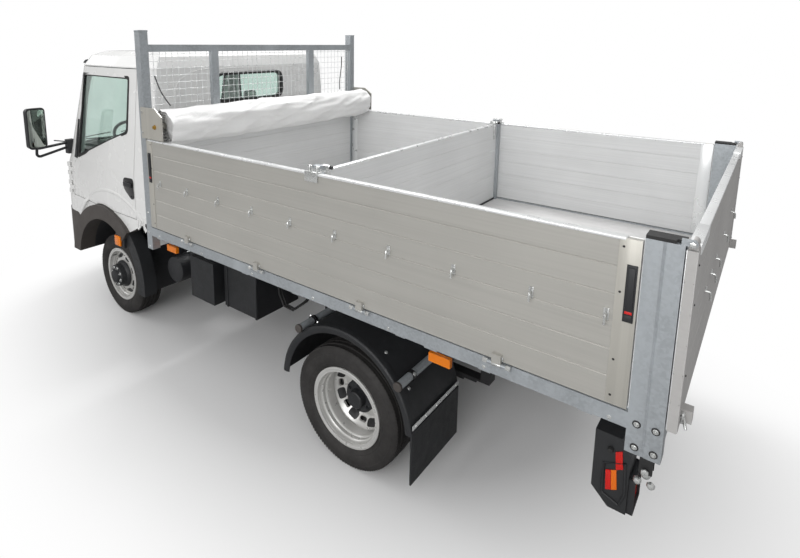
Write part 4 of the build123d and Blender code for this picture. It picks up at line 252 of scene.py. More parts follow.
def cloth_finish(name, colour, thread, height, roughness, sheen=0.0, stain=0.04):
    """Makes a woven or coated cloth with crossed threads, soft creases and light stains."""
    material, tree, shader = blank_material(name)
    place = shader_node(tree, "ShaderNodeTexCoord").outputs["Object"]
    warp = shader_node(tree, "ShaderNodeTexWave", {"Vector": place, "Scale": thread}, bands_direction="Y")
    weft = shader_node(tree, "ShaderNodeTexWave", {"Vector": place, "Scale": thread}, bands_direction="Z")
    weave = shader_node(tree, "ShaderNodeMath", {0: warp.outputs[1], 1: weft.outputs[1]}, operation="ADD").outputs[0]
    crease = noise_field(tree, place, 9.0, 5.0, (1, 0.6, 1))
    both = shader_node(tree, "ShaderNodeMath", {0: weave, 1: height, 2: 0.0}, operation="MULTIPLY_ADD").outputs[0]
    relief = shader_node(tree, "ShaderNodeMath", {0: crease, 1: 0.006, 2: both}, operation="MULTIPLY_ADD").outputs[0]
    bump = shader_node(tree, "ShaderNodeBump", {"Height": relief, "Distance": 1.0, "Strength": 0.8})
    tree.links.new(bump.outputs[0], shader.inputs["Normal"])
    cloud = remap(tree, noise_field(tree, place, 3.0, 5.0), 0.35, 0.7)
    base = blend_colours(tree, cloud, rgba(colour, 1 - stain), rgba(colour, 1 + stain))
    tree.links.new(base, shader.inputs["Base Color"])
    rough = remap(tree, noise_field(tree, place, 14.0, 3.0), 0.3, 0.7, roughness - 0.07, roughness + 0.07)
    tree.links.new(rough, shader.inputs["Roughness"])
    shader.inputs["Sheen Weight"].default_value = sheen
    return material


FINISHES = {}


def make_finishes(colours):
    """Makes every finish of the truck."""
    zinc = colours.zinc
    made = {
        "paint": finish("cab_gloss_white", colours.cab, patch=1.2, variation=0.012, grain=420.0, height=0.00004,
                        roughness=(0.22, 0.30), Coat_Weight=0.6, Coat_Roughness=0.06),
        "zinc": zinc_finish("dipped_steel", zinc),
        "bright": finish("bright_zinc", (0.66, 0.67, 0.66), patch=30.0, variation=0.10, grain=260.0, height=0.0002,
                         roughness=(0.22, 0.36), Metallic=0.85),
        "chrome": finish("hard_chrome", (0.72, 0.72, 0.73), patch=8.0, variation=0.03, roughness=(0.06, 0.12),
                         Metallic=1.0),
        "brass": finish("brass_pin", (0.60, 0.38, 0.10), patch=30.0, variation=0.1, roughness=(0.22, 0.35),
                        Metallic=1.0),
        "board_left": board_finish("board_left", colours.board_outside, colours.board_inside, (0, 1, 0)),
        "board_right": board_finish("board_right", colours.board_outside, colours.board_inside, (0, -1, 0)),
        "board_rear": board_finish("board_rear", (0.50, 0.49, 0.48), colours.board_inside, (-1, 0, 0), 0.62, 0.1),
        "board_across": board_finish("board_across", colours.board_inside, colours.board_inside, (1, 0, 0)),
        "profile": finish("edge_profile", (0.50, 0.485, 0.44), patch=1.5, variation=0.04, grain=9.0, height=0.0001,
                          roughness=(0.30, 0.40), stretch=(60, 60, 0.5), Metallic=0.4),
        # Bright bare metal for sheets, wires and strips; on the side boards' top beads it is partly a painted
        # highlight.
        "edge": finish("bare_metal_and_painted_highlight", (0.80, 0.81, 0.81), patch=3.0, variation=0.04, roughness=(0.24, 0.34),
                       Metallic=0.45),
        "plate": finish("worn_floor", (0.72, 0.715, 0.71), patch=2.6, variation=0.16, grain=60.0, height=0.0005,
                        roughness=(0.30, 0.55), stretch=(0.6, 1.6, 1), Metallic=0.15),
        "tyre": finish("tyre_rubber", colours.rubber, patch=9.0, variation=0.22, grain=500.0, height=0.0003,
                       roughness=(0.62, 0.80)),
        "rim": finish("rim_silver", (0.66, 0.655, 0.635), patch=9.0, variation=0.06, grain=700.0, height=0.00008,
                      roughness=(0.26, 0.38), Metallic=0.45, Coat_Weight=0.3),
        # Black paint of the frame; the same finish paints the shade seen through the rims' hand holes.
        "chassis": finish("chassis_black_and_painted_shade", (0.020, 0.020, 0.021), patch=6.0, variation=0.3, grain=120.0,
                          height=0.0003, roughness=(0.38, 0.6)),
        "black": finish("grained_black", (0.017, 0.018, 0.020), patch=5.0, variation=0.15, grain=900.0,
                        height=0.0003, roughness=(0.42, 0.56), cells=True),
        "gloss_black": finish("smooth_black", (0.012, 0.012, 0.013), patch=5.0, variation=0.15,
                              roughness=(0.14, 0.24), Coat_Weight=0.3),
        "bumper": finish("grained_grey", colours.bumper, patch=3.0, variation=0.06, grain=700.0, height=0.0004,
                         roughness=(0.50, 0.62), cells=True),
        # Black rubber; the same finish also paints the shade in the post bolts' recesses.
        "rubber": finish("soft_rubber_and_painted_shade", (0.018, 0.018, 0.018), patch=14.0, variation=0.2, grain=380.0,
                         height=0.0002, roughness=(0.6, 0.75)),
        "red": finish("red_plastic", (0.62, 0.012, 0.010), patch=20.0, variation=0.08, roughness=(0.25, 0.35)),
        "glass": glass_finish("window_glass", (0.72, 0.82, 0.78)),
        "screen_border": finish("fired_border", (0.008, 0.008, 0.009), patch=6.0, variation=0.1,
                                roughness=(0.08, 0.14), Coat_Weight=0.5),
        "lens_clear": glass_finish("lamp_cover", (0.95, 0.96, 0.97), relief=0.0004, scale=60.0, transmission=0.9),
        "lens_red": glass_finish("red_lens", (0.75, 0.015, 0.010), 0.08, 0.0006, 170.0, 0.25),
        "lens_orange": glass_finish("orange_lens", (0.95, 0.20, 0.008), 0.08, 0.0006, 170.0, 0.25),
        "lens_amber": glass_finish("amber_lens", colours.amber, 0.10, 0.0005, 210.0, 0.15),
        "mirror": finish("silvered_glass", (0.42, 0.46, 0.42), patch=3.0, variation=0.06, roughness=(0.015, 0.03),
                         Metallic=1.0),
        "cover": cloth_finish("coated_cover", colours.cover, 260.0, 0.00015, 0.5, sheen=0.1),
        "seat": cloth_finish("seat_cloth", (0.055, 0.056, 0.060), 300.0, 0.0006, 0.85, sheen=0.35, stain=0.12),
        "strap": cloth_finish("strap_cord", (0.022, 0.022, 0.024), 500.0, 0.0004, 0.7, sheen=0.2),
        "trim": finish("cabin_trim", (0.075, 0.075, 0.078), patch=4.0, variation=0.08, grain=800.0, height=0.0003,
                       roughness=(0.55, 0.68), cells=True),
    }
    FINISHES.update(made)


NODE_FINISHES = {
    "chassis": ("chassis_frame", "tipper_subframe", "axles", "leaf_springs", "engine_and_driveline", "ram_barrel",
                "knuckle_left", "knuckle_right"),
    "black": ("tank_and_boxes", "rear_mudguards_and_flaps", "underrun_and_lamp_boxes", "grille", "front_mudguards",
              "mirrors"),
    "trim": ("dashboard", "cab_floor", "steering_wheel"),
    "zinc": ("bed_frame", "rear_posts", "headboard_frame", "partition_guides", "mudguard_tubes"),
    "profile": ("roll_end_plates",),
    "paint": ("cab_roof", "cab_back_wall", "cab_rear_pillars", "cab_front_panel", "door_left", "door_right"),
    "glass": ("cab_glass", "door_glass_left", "door_glass_right"),
    "lens_clear": ("headlamps",),
    "lens_red": ("tail_lamp_lenses",),
    "lens_amber": ("side_markers",),
    "bumper": ("bumper", "arch_flares"),
    "seat": ("seats",),
    "tyre": ("tyre_front_left", "tyre_front_right", "tyres_rear_left", "tyres_rear_right"),
    "rim": ("rim_front_left", "rim_front_right", "rims_rear_left", "rims_rear_right"),
    "plate": ("bed_floor",),
    "board_across": ("headboard_board", "partition_board"),
    "board_left": ("side_board_left",),
    "board_right": ("side_board_right",),
    "board_rear": ("tailgate",),
    "cover": ("cover_roll",),
    "rubber": ("post_caps_and_feet",),
    "strap": ("cover_straps",),
    "chrome": ("ram_stage_1", "ram_stage_2", "ram_stage_3", "ram_stage_4"),
}


# Shapes

class Shape:
    """Collects the faces of one piece, in the truck's own places."""

    def __init__(self):
        self.mesh = bmesh.new()

    def take(self, part, turn=None):
        """Joins another bmesh, turned and moved by a matrix."""
        if turn is not None:
            bmesh.ops.transform(part, matrix=turn, verts=part.verts)
        held = bpy.data.meshes.new("held")
        part.to_mesh(held)
        part.free()
        self.mesh.from_mesh(held)
        bpy.data.meshes.remove(held)

    def box(self, low, high, soft=0.0, turn=None, steps=2):
        """Adds a box with rounded edges between two corners."""
        part = bmesh.new()
        bmesh.ops.create_cube(part, size=1.0)
        low, high = Vector(low), Vector(high)
        size, middle = high - low, (high + low) / 2
        for vert in part.verts:
            vert.co = Vector(c * abs(s) for c, s in zip(vert.co, size)) + middle
        if soft:
            bmesh.ops.bevel(part, geom=part.edges[:], offset=soft, segments=steps, affect="EDGES", profile=0.5)
        self.take(part, turn)

    def bar(self, start, end, radius, sides=20, end_radius=None, soft=0.0):
        """Adds a round or many-sided bar between two points."""
        start, end = Vector(start), Vector(end)
        run = end - start
        part = bmesh.new()
        bmesh.ops.create_cone(part, cap_ends=True, segments=sides, radius1=radius,
                              radius2=radius if end_radius is None else end_radius, depth=run.length)
        if soft:
            rims = [e for e in part.edges if abs(e.verts[0].co.z - e.verts[1].co.z) < 1e-7]
            bmesh.ops.bevel(part, geom=rims, offset=soft, segments=2, affect="EDGES", profile=0.5)
        turn = Matrix.Translation((start + end) / 2) @ run.to_track_quat("Z", "Y").to_matrix().to_4x4()
        self.take(part, turn)

    def lathe(self, centre, axis, profile, steps=64, arc=(0, 360), loop=True):
        """Turns a profile of (along, radius) points about an axis."""
        centre, axis = Vector(centre), Vector(axis).normalized()
        across = axis.orthogonal().normalized() if abs(axis.y) < 0.99 else Vector((1, 0, 0))
        other = axis.cross(across)
        whole = abs(arc[1] - arc[0]) >= 360
        rows = []
        for step in range(steps if whole else steps + 1):
            angle = math.radians(arc[0] + (arc[1] - arc[0]) * step / steps)
            out = across * math.cos(angle) + other * math.sin(angle)
            rows.append([self.mesh.verts.new(centre + axis * a + out * r) for a, r in profile])
        count = len(profile)
        for step in range(steps):
            near, far = rows[step], rows[(step + 1) % len(rows)]
            for index in range(count if loop else count - 1):
                after = (index + 1) % count
                self.mesh.faces.new((near[index], near[after], far[after], far[index]))
        if loop and not whole:
            self.mesh.faces.new(rows[0])
            self.mesh.faces.new(rows[-1])

    def plate(self, outline, place, soft=0.0):
        """Adds a plate: a flat outline, mapped by place(u, v, side) for its two faces."""
        part = bmesh.new()
        near = [part.verts.new(place(u, v, 0)) for u, v in outline]
        far = [part.verts.new(place(u, v, 1)) for u, v in outline]
        part.faces.new(near)
        part.faces.new(list(reversed(far)))
        count = len(outline)
        for index in range(count):
            after = (index + 1) % count
            part.faces.new((near[index], far[index], far[after], near[after]))
        bmesh.ops.recalc_face_normals(part, faces=part.faces[:])
        if soft:
            rims = [e for e in part.edges if all(v in near for v in e.verts) or all(v in far for v in e.verts)]
            bmesh.ops.bevel(part, geom=rims, offset=soft, segments=2, affect="EDGES", profile=0.5)
        self.take(part)

    def tube(self, points, radius, sides=10, closed=False):
        """Sweeps a round section along points."""
        points = [Vector(p) for p in points]
        count = len(points)
        rings, up = [], None
        for index, point in enumerate(points):
            if closed:
                ahead, behind = points[(index + 1) % count], points[index - 1]
            else:
                ahead, behind = points[min(index + 1, count - 1)], points[max(index - 1, 0)]
            run = (ahead - behind).normalized()
            if up is None:
                up = run.orthogonal().normalized()
            up = (up - run * up.dot(run)).normalized()
            side = run.cross(up)
            rings.append([self.mesh.verts.new(point + (up * math.cos(a) + side * math.sin(a)) * radius)
                          for a in (2 * math.pi * k / sides for k in range(sides))])
        for index in range(count if closed else count - 1):
            near, far = rings[index], rings[(index + 1) % count]
            for k in range(sides):
                after = (k + 1) % sides
                self.mesh.faces.new((near[k], near[after], far[after], far[k]))
        if not closed:
            self.mesh.faces.new(list(reversed(rings[0])))
            self.mesh.faces.new(rings[-1])

    def ribbon(self, rows, closed=False):
        """Skins rows of points, each row one section, into a closed band."""
        made = [[self.mesh.verts.new(p) for p in row] for row in rows]
        count, width = len(made), len(made[0])
        for index in range(count if closed else count - 1):
            near, far = made[index], made[(index + 1) % count]
            for k in range(width):
                after = (k + 1) % width
                self.mesh.faces.new((near[k], near[after], far[after], far[k]))
        if not closed:
            self.mesh.faces.new(list(reversed(made[0])))
            self.mesh.faces.new(made[-1])

    def piece(self, name, material, body, crease=32.0, replaces=()):
        """Makes the object, which rides on a body."""
        bmesh.ops.remove_doubles(self.mesh, verts=self.mesh.verts[:], dist=1e-6)
        bmesh.ops.recalc_face_normals(self.mesh, faces=self.mesh.faces[:])
        data = bpy.data.meshes.new(name)
        self.mesh.to_mesh(data)
        self.mesh.free()
        return settle(name, data, material, body, crease, replaces)


def settle(name, data, material, body, crease=32.0, replaces=()):
    """Puts a mesh in the scene with its finish, on the body that carries it."""
    data.shade_smooth()
    data.set_sharp_from_angle(angle=math.radians(crease))
    data.materials.clear()
    data.materials.append(FINISHES[material])
    piece = bpy.data.objects.new(name, data)
    bpy.context.scene.collection.objects.link(piece)
    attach(piece, body)
    if replaces:
        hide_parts(*replaces)
    return piece


def node_surface(*names):
    """Gives a search tree of CAD nodes' faces."""
    verts, faces = [], []
    for name in names:
        data = NODES[name].data
        base = len(verts)
        verts += [v.co.copy() for v in data.vertices]
        faces += [[base + i for i in p.vertices] for p in data.polygons]
    return BVHTree.FromPolygons(verts, faces)


def drop(tree, point, direction, fallback):
    """Finds where a line from a point meets the surface."""
    hit = tree.ray_cast(Vector(point), Vector(direction))
    return hit[0] if hit[0] is not None else Vector(fallback)


def rounded(corners, radius, steps=5):
    """Rounds the corners of a flat outline."""
    result = []
    count = len(corners)
    for index in range(count):
        here = Vector(corners[index])
        before = (Vector(corners[index - 1]) - here)
        after = (Vector(corners[(index + 1) % count]) - here)
        reach = min(radius, before.length * 0.45, after.length * 0.45)
        start, end = here + before.normalized() * reach, here + after.normalized() * reach
        for step in range(steps + 1):
            t = step / steps
            result.append(tuple(start * (1 - t) ** 2 + here * 2 * t * (1 - t) + end * t ** 2))
    return result


# Geometry Nodes for what repeats

def new_tree(name, inputs):
    """Starts a node tree with a geometry input, named inputs and a geometry output."""
    tree = bpy.data.node_groups.new(name, "GeometryNodeTree")
    face = tree.interface
    face.new_socket("Geometry", in_out="INPUT", socket_type="NodeSocketGeometry")
    for label, kind, value in inputs:
        socket = face.new_socket(label, in_out="INPUT", socket_type="NodeSocket" + kind)
        if value is not None:
            socket.default_value = value
    face.new_socket("Geometry", in_out="OUTPUT", socket_type="NodeSocketGeometry")
    start = tree.nodes.new("NodeGroupInput")
    end = tree.nodes.new("NodeGroupOutput")
    return tree, start, end


def close_tree(tree, start, end, geometry):
    """Ends a tree in Realize Instances and Set Material."""
    real = shader_node(tree, "GeometryNodeRealizeInstances", {"Geometry": geometry})
    paint = shader_node(tree, "GeometryNodeSetMaterial",
                        {"Geometry": real.outputs[0], "Material": start.outputs["Finish"]})
    tree.links.new(paint.outputs[0], end.inputs[0])
    return tree


def scatter(tree, start, instance):
    """Puts an instance on each point, its Z axis along the point's aim and its X along the point's lie."""
    aim = shader_node(tree, "GeometryNodeInputNamedAttribute", {"Name": "aim"}, data_type="FLOAT_VECTOR")
    lie = shader_node(tree, "GeometryNodeInputNamedAttribute", {"Name": "lie"}, data_type="FLOAT_VECTOR")
    upright = shader_node(tree, "FunctionNodeAlignRotationToVector", {"Vector": aim.outputs[0]}, axis="Z")
    turned = shader_node(tree, "FunctionNodeAlignRotationToVector",
                         {"Rotation": upright.outputs[0], "Vector": lie.outputs[0]}, axis="X", pivot_axis="Z")
    return shader_node(tree, "GeometryNodeInstanceOnPoints",
                       {"Points": start.outputs["Geometry"], "Instance": instance,
                        "Rotation": turned.outputs[0]}).outputs[0]


def fastener_tree():
    """Builds the tree for bolts, nuts and rivets: a washer, a many-sided head and a stub on each point."""
    tree, start, end = new_tree("fasteners", (
        ("Sides", "Int", 6), ("Head Radius", "Float", 0.01), ("Head Height", "Float", 0.008),
        ("Washer Radius", "Float", 0.014), ("Washer Height", "Float", 0.002),
        ("Stub Radius", "Float", 0.004), ("Stub Height", "Float", 0.003), ("Finish", "Material", None)))
    join = tree.nodes.new("GeometryNodeJoinGeometry")
    rise = 0.0
    for label, sides in (("Washer", 20), ("Head", None), ("Stub", 12)):
        cone = shader_node(tree, "GeometryNodeMeshCone", {"Radius Bottom": start.outputs[f"{label} Radius"],
                                                          "Depth": start.outputs[f"{label} Height"]})
        slim = shader_node(tree, "ShaderNodeMath", {0: start.outputs[f"{label} Radius"], 1: 0.88},
                           operation="MULTIPLY").outputs[0]
        tree.links.new(slim, cone.inputs["Radius Top"])
        if sides is None:
            tree.links.new(start.outputs["Sides"], cone.inputs["Vertices"])
        else:
            cone.inputs["Vertices"].default_value = sides
        lift = shader_node(tree, "ShaderNodeCombineXYZ", {"Z": rise})
        moved = shader_node(tree, "GeometryNodeTransform",
                            {"Geometry": cone.outputs[0], "Translation": lift.outputs[0]})
        tree.links.new(moved.outputs[0], join.inputs[0])
        rise = shader_node(tree, "ShaderNodeMath", {0: start.outputs[f"{label} Height"], 1: rise},
                           operation="ADD").outputs[0]
    return close_tree(tree, start, end, scatter(tree, start, join.outputs[0]))


def hook_tree():
    """Builds the tree for rope hooks: a bent bar that stands off the board and turns up."""
    tree, start, end = new_tree("rope_hooks", (
        ("Bar Radius", "Float", 0.0045), ("Reach", "Float", 0.022), ("Drop", "Float", 0.045),
        ("Finish", "Material", None)))
    reach, drop_down = start.outputs["Reach"], start.outputs["Drop"]
    half = shader_node(tree, "ShaderNodeMath", {0: drop_down, 1: -0.55}, operation="MULTIPLY").outputs[0]
    top = shader_node(tree, "ShaderNodeCombineXYZ", {"X": 0.0, "Z": 0.0}).outputs[0]
    out = shader_node(tree, "ShaderNodeCombineXYZ", {"X": 0.0, "Z": reach}).outputs[0]
    low = shader_node(tree, "ShaderNodeCombineXYZ", {"X": drop_down, "Z": reach}).outputs[0]
    foot = shader_node(tree, "ShaderNodeCombineXYZ", {"X": half, "Z": 0.002}).outputs[0]
    arch = shader_node(tree, "GeometryNodeCurvePrimitiveBezierSegment",
                       {"Resolution": 10, "Start": top, "Start Handle": out, "End Handle": out, "End": low})
    stem = shader_node(tree, "GeometryNodeCurvePrimitiveLine", {"Start": foot, "End": top})
    ring = shader_node(tree, "GeometryNodeCurvePrimitiveCircle",
                       {"Resolution": 8, "Radius": start.outputs["Bar Radius"]})
    join = tree.nodes.new("GeometryNodeJoinGeometry")
    for path in (arch, stem):
        swept = shader_node(tree, "GeometryNodeCurveToMesh",
                            {"Curve": path.outputs[0], "Profile Curve": ring.outputs[0], "Fill Caps": True})
        tree.links.new(swept.outputs[0], join.inputs[0])
    return close_tree(tree, start, end, scatter(tree, start, join.outputs[0]))


def block_tree():
    """Builds the tree for plain blocks: tread blocks, slats and bars of any three sizes."""
    tree, start, end = new_tree("blocks", (
        ("Length", "Float", 0.02), ("Width", "Float", 0.01), ("Height", "Float", 0.008),
        ("Finish", "Material", None)))
    size = shader_node(tree, "ShaderNodeCombineXYZ", {"X": start.outputs["Length"], "Y": start.outputs["Width"],
                                                      "Z": start.outputs["Height"]})
    cube = shader_node(tree, "GeometryNodeMeshCube", {"Size": size.outputs[0]})
    return close_tree(tree, start, end, scatter(tree, start, cube.outputs[0]))


def wire_tree():
    """Builds the tree for rows of round wires: a count, a step and a run between two ends."""
    tree, start, end = new_tree("wire_rows", (
        ("Count", "Int", 10), ("First", "Vector", (0, 0, 0)), ("Step", "Vector", (0, 0.05, 0)),
        ("Run", "Vector", (0, 0, 1)), ("Radius", "Float", 0.002), ("Finish", "Material", None)))
    row = shader_node(tree, "GeometryNodeMeshLine", {"Count": start.outputs["Count"],
                                                     "Start Location": start.outputs["First"],
                                                     "Offset": start.outputs["Step"]})
    line = shader_node(tree, "GeometryNodeCurvePrimitiveLine", {"End": start.outputs["Run"]})
    ring = shader_node(tree, "GeometryNodeCurvePrimitiveCircle",
                       {"Resolution": 8, "Radius": start.outputs["Radius"]})
    wire = shader_node(tree, "GeometryNodeCurveToMesh",
                       {"Curve": line.outputs[0], "Profile Curve": ring.outputs[0], "Fill Caps": True})
    rows = shader_node(tree, "GeometryNodeInstanceOnPoints", {"Points": row.outputs[0], "Instance": wire.outputs[0]})
    return close_tree(tree, start, end, rows.outputs[0])


TREES = {}


def grow(name, tree_name, body, material, inputs, points=(), replaces=(), crease=32.0):
    """Runs a node tree on points with their aims, and keeps the result as a plain mesh."""
    data = bpy.data.meshes.new(name + "_points")
    data.from_pydata([tuple(p) for p, _, _ in points], [], [])
    for label, index in (("aim", 1), ("lie", 2)):
        attribute = data.attributes.new(label, "FLOAT_VECTOR", "POINT")
        attribute.data.foreach_set("vector", [c for row in points for c in row[index]])
    source = bpy.data.objects.new(name + "_source", data)
    bpy.context.scene.collection.objects.link(source)
    tree = TREES[tree_name]
    modifier = source.modifiers.new("grow", "NODES")
    modifier.node_group = tree
    sockets = {s.name: s.identifier for s in tree.interface.items_tree if s.in_out == "INPUT"}
    for label, value in dict(inputs, Finish=FINISHES[material]).items():
        modifier[sockets[label]] = value
    graph = bpy.context.evaluated_depsgraph_get()
    made = bpy.data.meshes.new_from_object(source.evaluated_get(graph))
    made.name = name
    bpy.data.objects.remove(source)
    for label in ("aim", "lie"):
        if label in made.attributes:
            made.attributes.remove(made.attributes[label])
    return settle(name, made, material, body, crease, replaces)


def rivets(name, body, points, radius=0.004, material="bright"):
    """Adds small round rivets at points with their aims."""
    return grow(name, "fasteners", body, material, {
        "Sides": 10, "Head Radius": radius, "Head Height": radius * 0.5, "Washer Radius": radius * 1.3,
        "Washer Height": 0.0006, "Stub Radius": radius * 0.6, "Stub Height": radius * 0.25}, points)


def bolts(name, body, points, size=0.01, material="bright"):
    """Adds hexagon heads on washers at points with their aims."""
    return grow(name, "fasteners", body, material, {
        "Sides": 6, "Head Radius": size, "Head Height": size * 0.7, "Washer Radius": size * 1.45,
        "Washer Height": size * 0.18, "Stub Radius": size * 0.5, "Stub Height": size * 0.35}, points)


class TruckOperator:
    """What every step shares."""
    bl_options = {"REGISTER", "UNDO"}

    def execute(self, context):
        self.build(context.scene.truck_sizes)
        return {"FINISHED"}


# Stage

class TRUCK_OT_stage(TruckOperator, Operator):
    """Adds the floor, the soft lamps, the surroundings and the camera"""
    bl_idname = "truck.stage"
    bl_label = "Stage"

    def build(self, sizes):
        self.floor()
        self.surroundings()
        for label, place, aim, size, power in (
                ("key", (1.6, -2.6, 7.2), (-0.3, 0.2, 0.3), 3.2, 430.0),
                ("fill", (-2.2, 7.6, 3.6), (-0.4, 0.5, 0.9), 5.0, 290.0),
                ("front", (6.2, 2.5, 4.6), (1.8, 0.0, 1.0), 4.0, 70.0)):
            lamp = bpy.data.lights.new(label, "AREA")
            lamp.shape, lamp.size, lamp.energy = "SQUARE", size, power
            holder = bpy.data.objects.new(label, lamp)
            holder.location = place
            holder.rotation_euler = (Vector(aim) - Vector(place)).to_track_quat("-Z", "Y").to_euler()
            bpy.context.scene.collection.objects.link(holder)
        self.camera()
        bpy.context.scene.view_settings.view_transform = "Standard"

    def floor(self):
        """Makes a white floor that keeps the shadow near the truck and is plain white further out."""
        material = bpy.data.materials.new("studio_floor")
        material.use_nodes = True
        tree = material.node_tree
        tree.nodes.clear()
        output = shader_node(tree, "ShaderNodeOutputMaterial")
        matt = shader_node(tree, "ShaderNodeBsdfDiffuse", {"Color": (0.86, 0.86, 0.86, 1)})
        bounce = shader_node(tree, "ShaderNodeBsdfDiffuse", {"Color": (0.42, 0.42, 0.42, 1)})
        white = shader_node(tree, "ShaderNodeEmission", {"Color": (1, 1, 1, 1), "Strength": 1.0})
        place = shader_node(tree, "ShaderNodeTexCoord").outputs["Object"]
        oval = shader_node(tree, "ShaderNodeMapping", {"Vector": place, "Scale": (0.62, 1.0, 1.0)}).outputs[0]
        far = shader_node(tree, "ShaderNodeVectorMath", {0: oval}, operation="LENGTH").outputs["Value"]
        fade = remap(tree, far, 1.15, 2.25)
        seen = shader_node(tree, "ShaderNodeMixShader", {0: fade, 1: matt.outputs[0], 2: white.outputs[0]})
        path = shader_node(tree, "ShaderNodeLightPath")
        looks = shader_node(tree, "ShaderNodeMath",
                            {0: path.outputs["Is Camera Ray"], 1: path.outputs["Is Transmission Ray"]},
                            operation="MAXIMUM")
        mix = shader_node(tree, "ShaderNodeMixShader", {0: looks.outputs[0], 1: bounce.outputs[0], 2: seen.outputs[0]})
        tree.links.new(mix.outputs[0], output.inputs["Surface"])
        data = bpy.data.meshes.new("studio_floor")
        reach = 40.0
        data.from_pydata([(-reach, -reach, 0), (reach, -reach, 0), (reach, reach, 0), (-reach, reach, 0)], [],
                         [(0, 1, 2, 3)])
        data.materials.append(material)
        ground = bpy.data.objects.new("studio_floor", data)
        bpy.context.scene.collection.objects.link(ground)

    def surroundings(self):
        """Makes a soft grey-white room, seen as plain white."""
        world = bpy.data.worlds.new("studio")
        world.use_nodes = True
        tree = world.node_tree
        tree.nodes.clear()
        output = shader_node(tree, "ShaderNodeOutputWorld")
        direction = shader_node(tree, "ShaderNodeTexCoord").outputs["Generated"]
        height = shader_node(tree, "ShaderNodeSeparateXYZ", {0: direction}).outputs[2]
        rise = remap(tree, height, -0.1, 0.9, 0.42, 0.66)
        light = shader_node(tree, "ShaderNodeBackground", {"Color": (1.0, 1.0, 1.0, 1), "Strength": rise})
        white = shader_node(tree, "ShaderNodeBackground", {"Color": (1, 1, 1, 1), "Strength": 1.0})
        path = shader_node(tree, "ShaderNodeLightPath")
        looks = shader_node(tree, "ShaderNodeMath",
                            {0: path.outputs["Is Camera Ray"], 1: path.outputs["Is Transmission Ray"]},
                            operation="MAXIMUM")
        mix = shader_node(tree, "ShaderNodeMixShader", {0: looks.outputs[0], 1: light.outputs[0], 2: white.outputs[0]})
        tree.links.new(mix.outputs[0], output.inputs["Surface"])
        bpy.context.scene.world = world

    def camera(self):
        """Places the camera at the photograph's view."""
        turn, rise, roll = math.radians(218.8896), math.radians(9.9855), math.radians(0.1378)
        back = Vector((math.sin(turn) * math.cos(rise), -math.cos(turn) * math.cos(rise), math.sin(rise)))
        right = (-back).cross(Z).normalized()
        up = right.cross(-back)
        right, up = (math.cos(roll) * right + math.sin(roll) * up, -math.sin(roll) * right + math.cos(roll) * up)
        data = bpy.data.cameras.new("camera")
        data.sensor_width = 36.0
        data.lens = 24.021
        data.shift_x, data.shift_y = 0.0643, -0.1754
        data.clip_end = 200.0
        view = bpy.data.objects.new("camera", data)
        view.matrix_world = (Matrix.Translation((-2.62783, 2.89824, 2.21799))
                             @ Matrix((right, up, back)).transposed().to_4x4())
        bpy.context.scene.collection.objects.link(view)
        bpy.context.scene.camera = view


class TRUCK_OT_finishes(TruckOperator, Operator):
    """Gives each listed part its finish"""
    bl_idname = "truck.finishes"
    bl_label = "Finishes"

    def build(self, sizes):
        make_finishes(bpy.context.scene.truck_colours)
        TREES.update(fasteners=fastener_tree(), hooks=hook_tree(), blocks=block_tree(), wires=wire_tree())
        for label, names in NODE_FINISHES.items():
            for name in names:
                part = NODES[name]
                if not part.data.materials:
                    part.data.materials.append(FINISHES[label])
                for held in part.material_slots:
                    held.material = FINISHES[label]
        plain = sorted(set(NODES) - {n for names in NODE_FINISHES.values() for n in names})
        print("nodes with no finish yet", plain)


# Wheels

TYRE_R = 0.335
# body, tyre node, axle, and the tyres' middles across the truck
WHEELS = (
    ("wheel_front_left", "tyre_front_left", FRONT_AXLE, (0.745,)),
    ("wheel_front_right", "tyre_front_right", FRONT_AXLE, (-0.745,)),
    ("wheels_rear_left", "tyres_rear_left", REAR_AXLE, (0.865, 0.650)),
    ("wheels_rear_right", "tyres_rear_right", REAR_AXLE, (-0.865, -0.650)),
)
# share of the tyre's half width, radius in metres
TYRE_PROFILE = ((0.79, 0.2035), (0.79, 0.220), (0.845, 0.226), (0.90, 0.2335), (0.945, 0.243), (0.935, 0.2455),
                (0.965, 0.250), (0.992, 0.262), (0.999, 0.274), (0.985, 0.287), (0.96, 0.297), (0.968, 0.2995),
                (0.93, 0.307), (0.89, 0.317), (0.845, 0.3245), (0.79, 0.3300), (0.60, 0.3325), (0.575, 0.3250),
                (0.51, 0.3250), (0.485, 0.3335), (0.235, 0.3342), (0.21, 0.3260), (0.145, 0.3260), (0.12, 0.3345))


class TRUCK_OT_tyres(TruckOperator, Operator):
    """Makes the tyres with ribbed sidewalls, grooves and tread blocks"""
    bl_idname = "truck.tyres"
    bl_label = "Tyres"

    def build(self, sizes):
        half = 0.095
        outline = [(w * half, r) for w, r in TYRE_PROFILE] + [(-w * half, r) for w, r in reversed(TYRE_PROFILE)]
        for body, node, axle, places in WHEELS:
            shape = Shape()
            points = []
            for middle in places:
                centre = Vector((axle.x, middle, TYRE_R))
                shape.lathe(centre, Y, outline, steps=96)
                for row, across in enumerate((-0.068, -0.034, 0.0, 0.034, 0.068)):
                    for k in range(sizes.tread_blocks):
                        angle = 2 * math.pi * (k + 0.5 * (row % 2)) / sizes.tread_blocks
                        out = Vector((math.cos(angle), 0, math.sin(angle)))
                        depth = TYRE_R - sizes.tread_depth * 0.5 - (0.0035 if row in (0, 4) else 0.0)
                        along = Vector((-out.z, 0, out.x))
                        skew = (along + Y * (0.35 if row < 2 else -0.35 if row > 2 else 0.0)).normalized()
                        points.append((centre + out * depth + Y * across, out, skew))
            tyre = shape.piece(node + "_carcass", "tyre", body, crease=28.0, replaces=(node,))
            tread = grow(node + "_tread", "blocks", body, "tyre",
                         {"Length": 0.0128, "Width": 0.0225, "Height": sizes.tread_depth}, points)


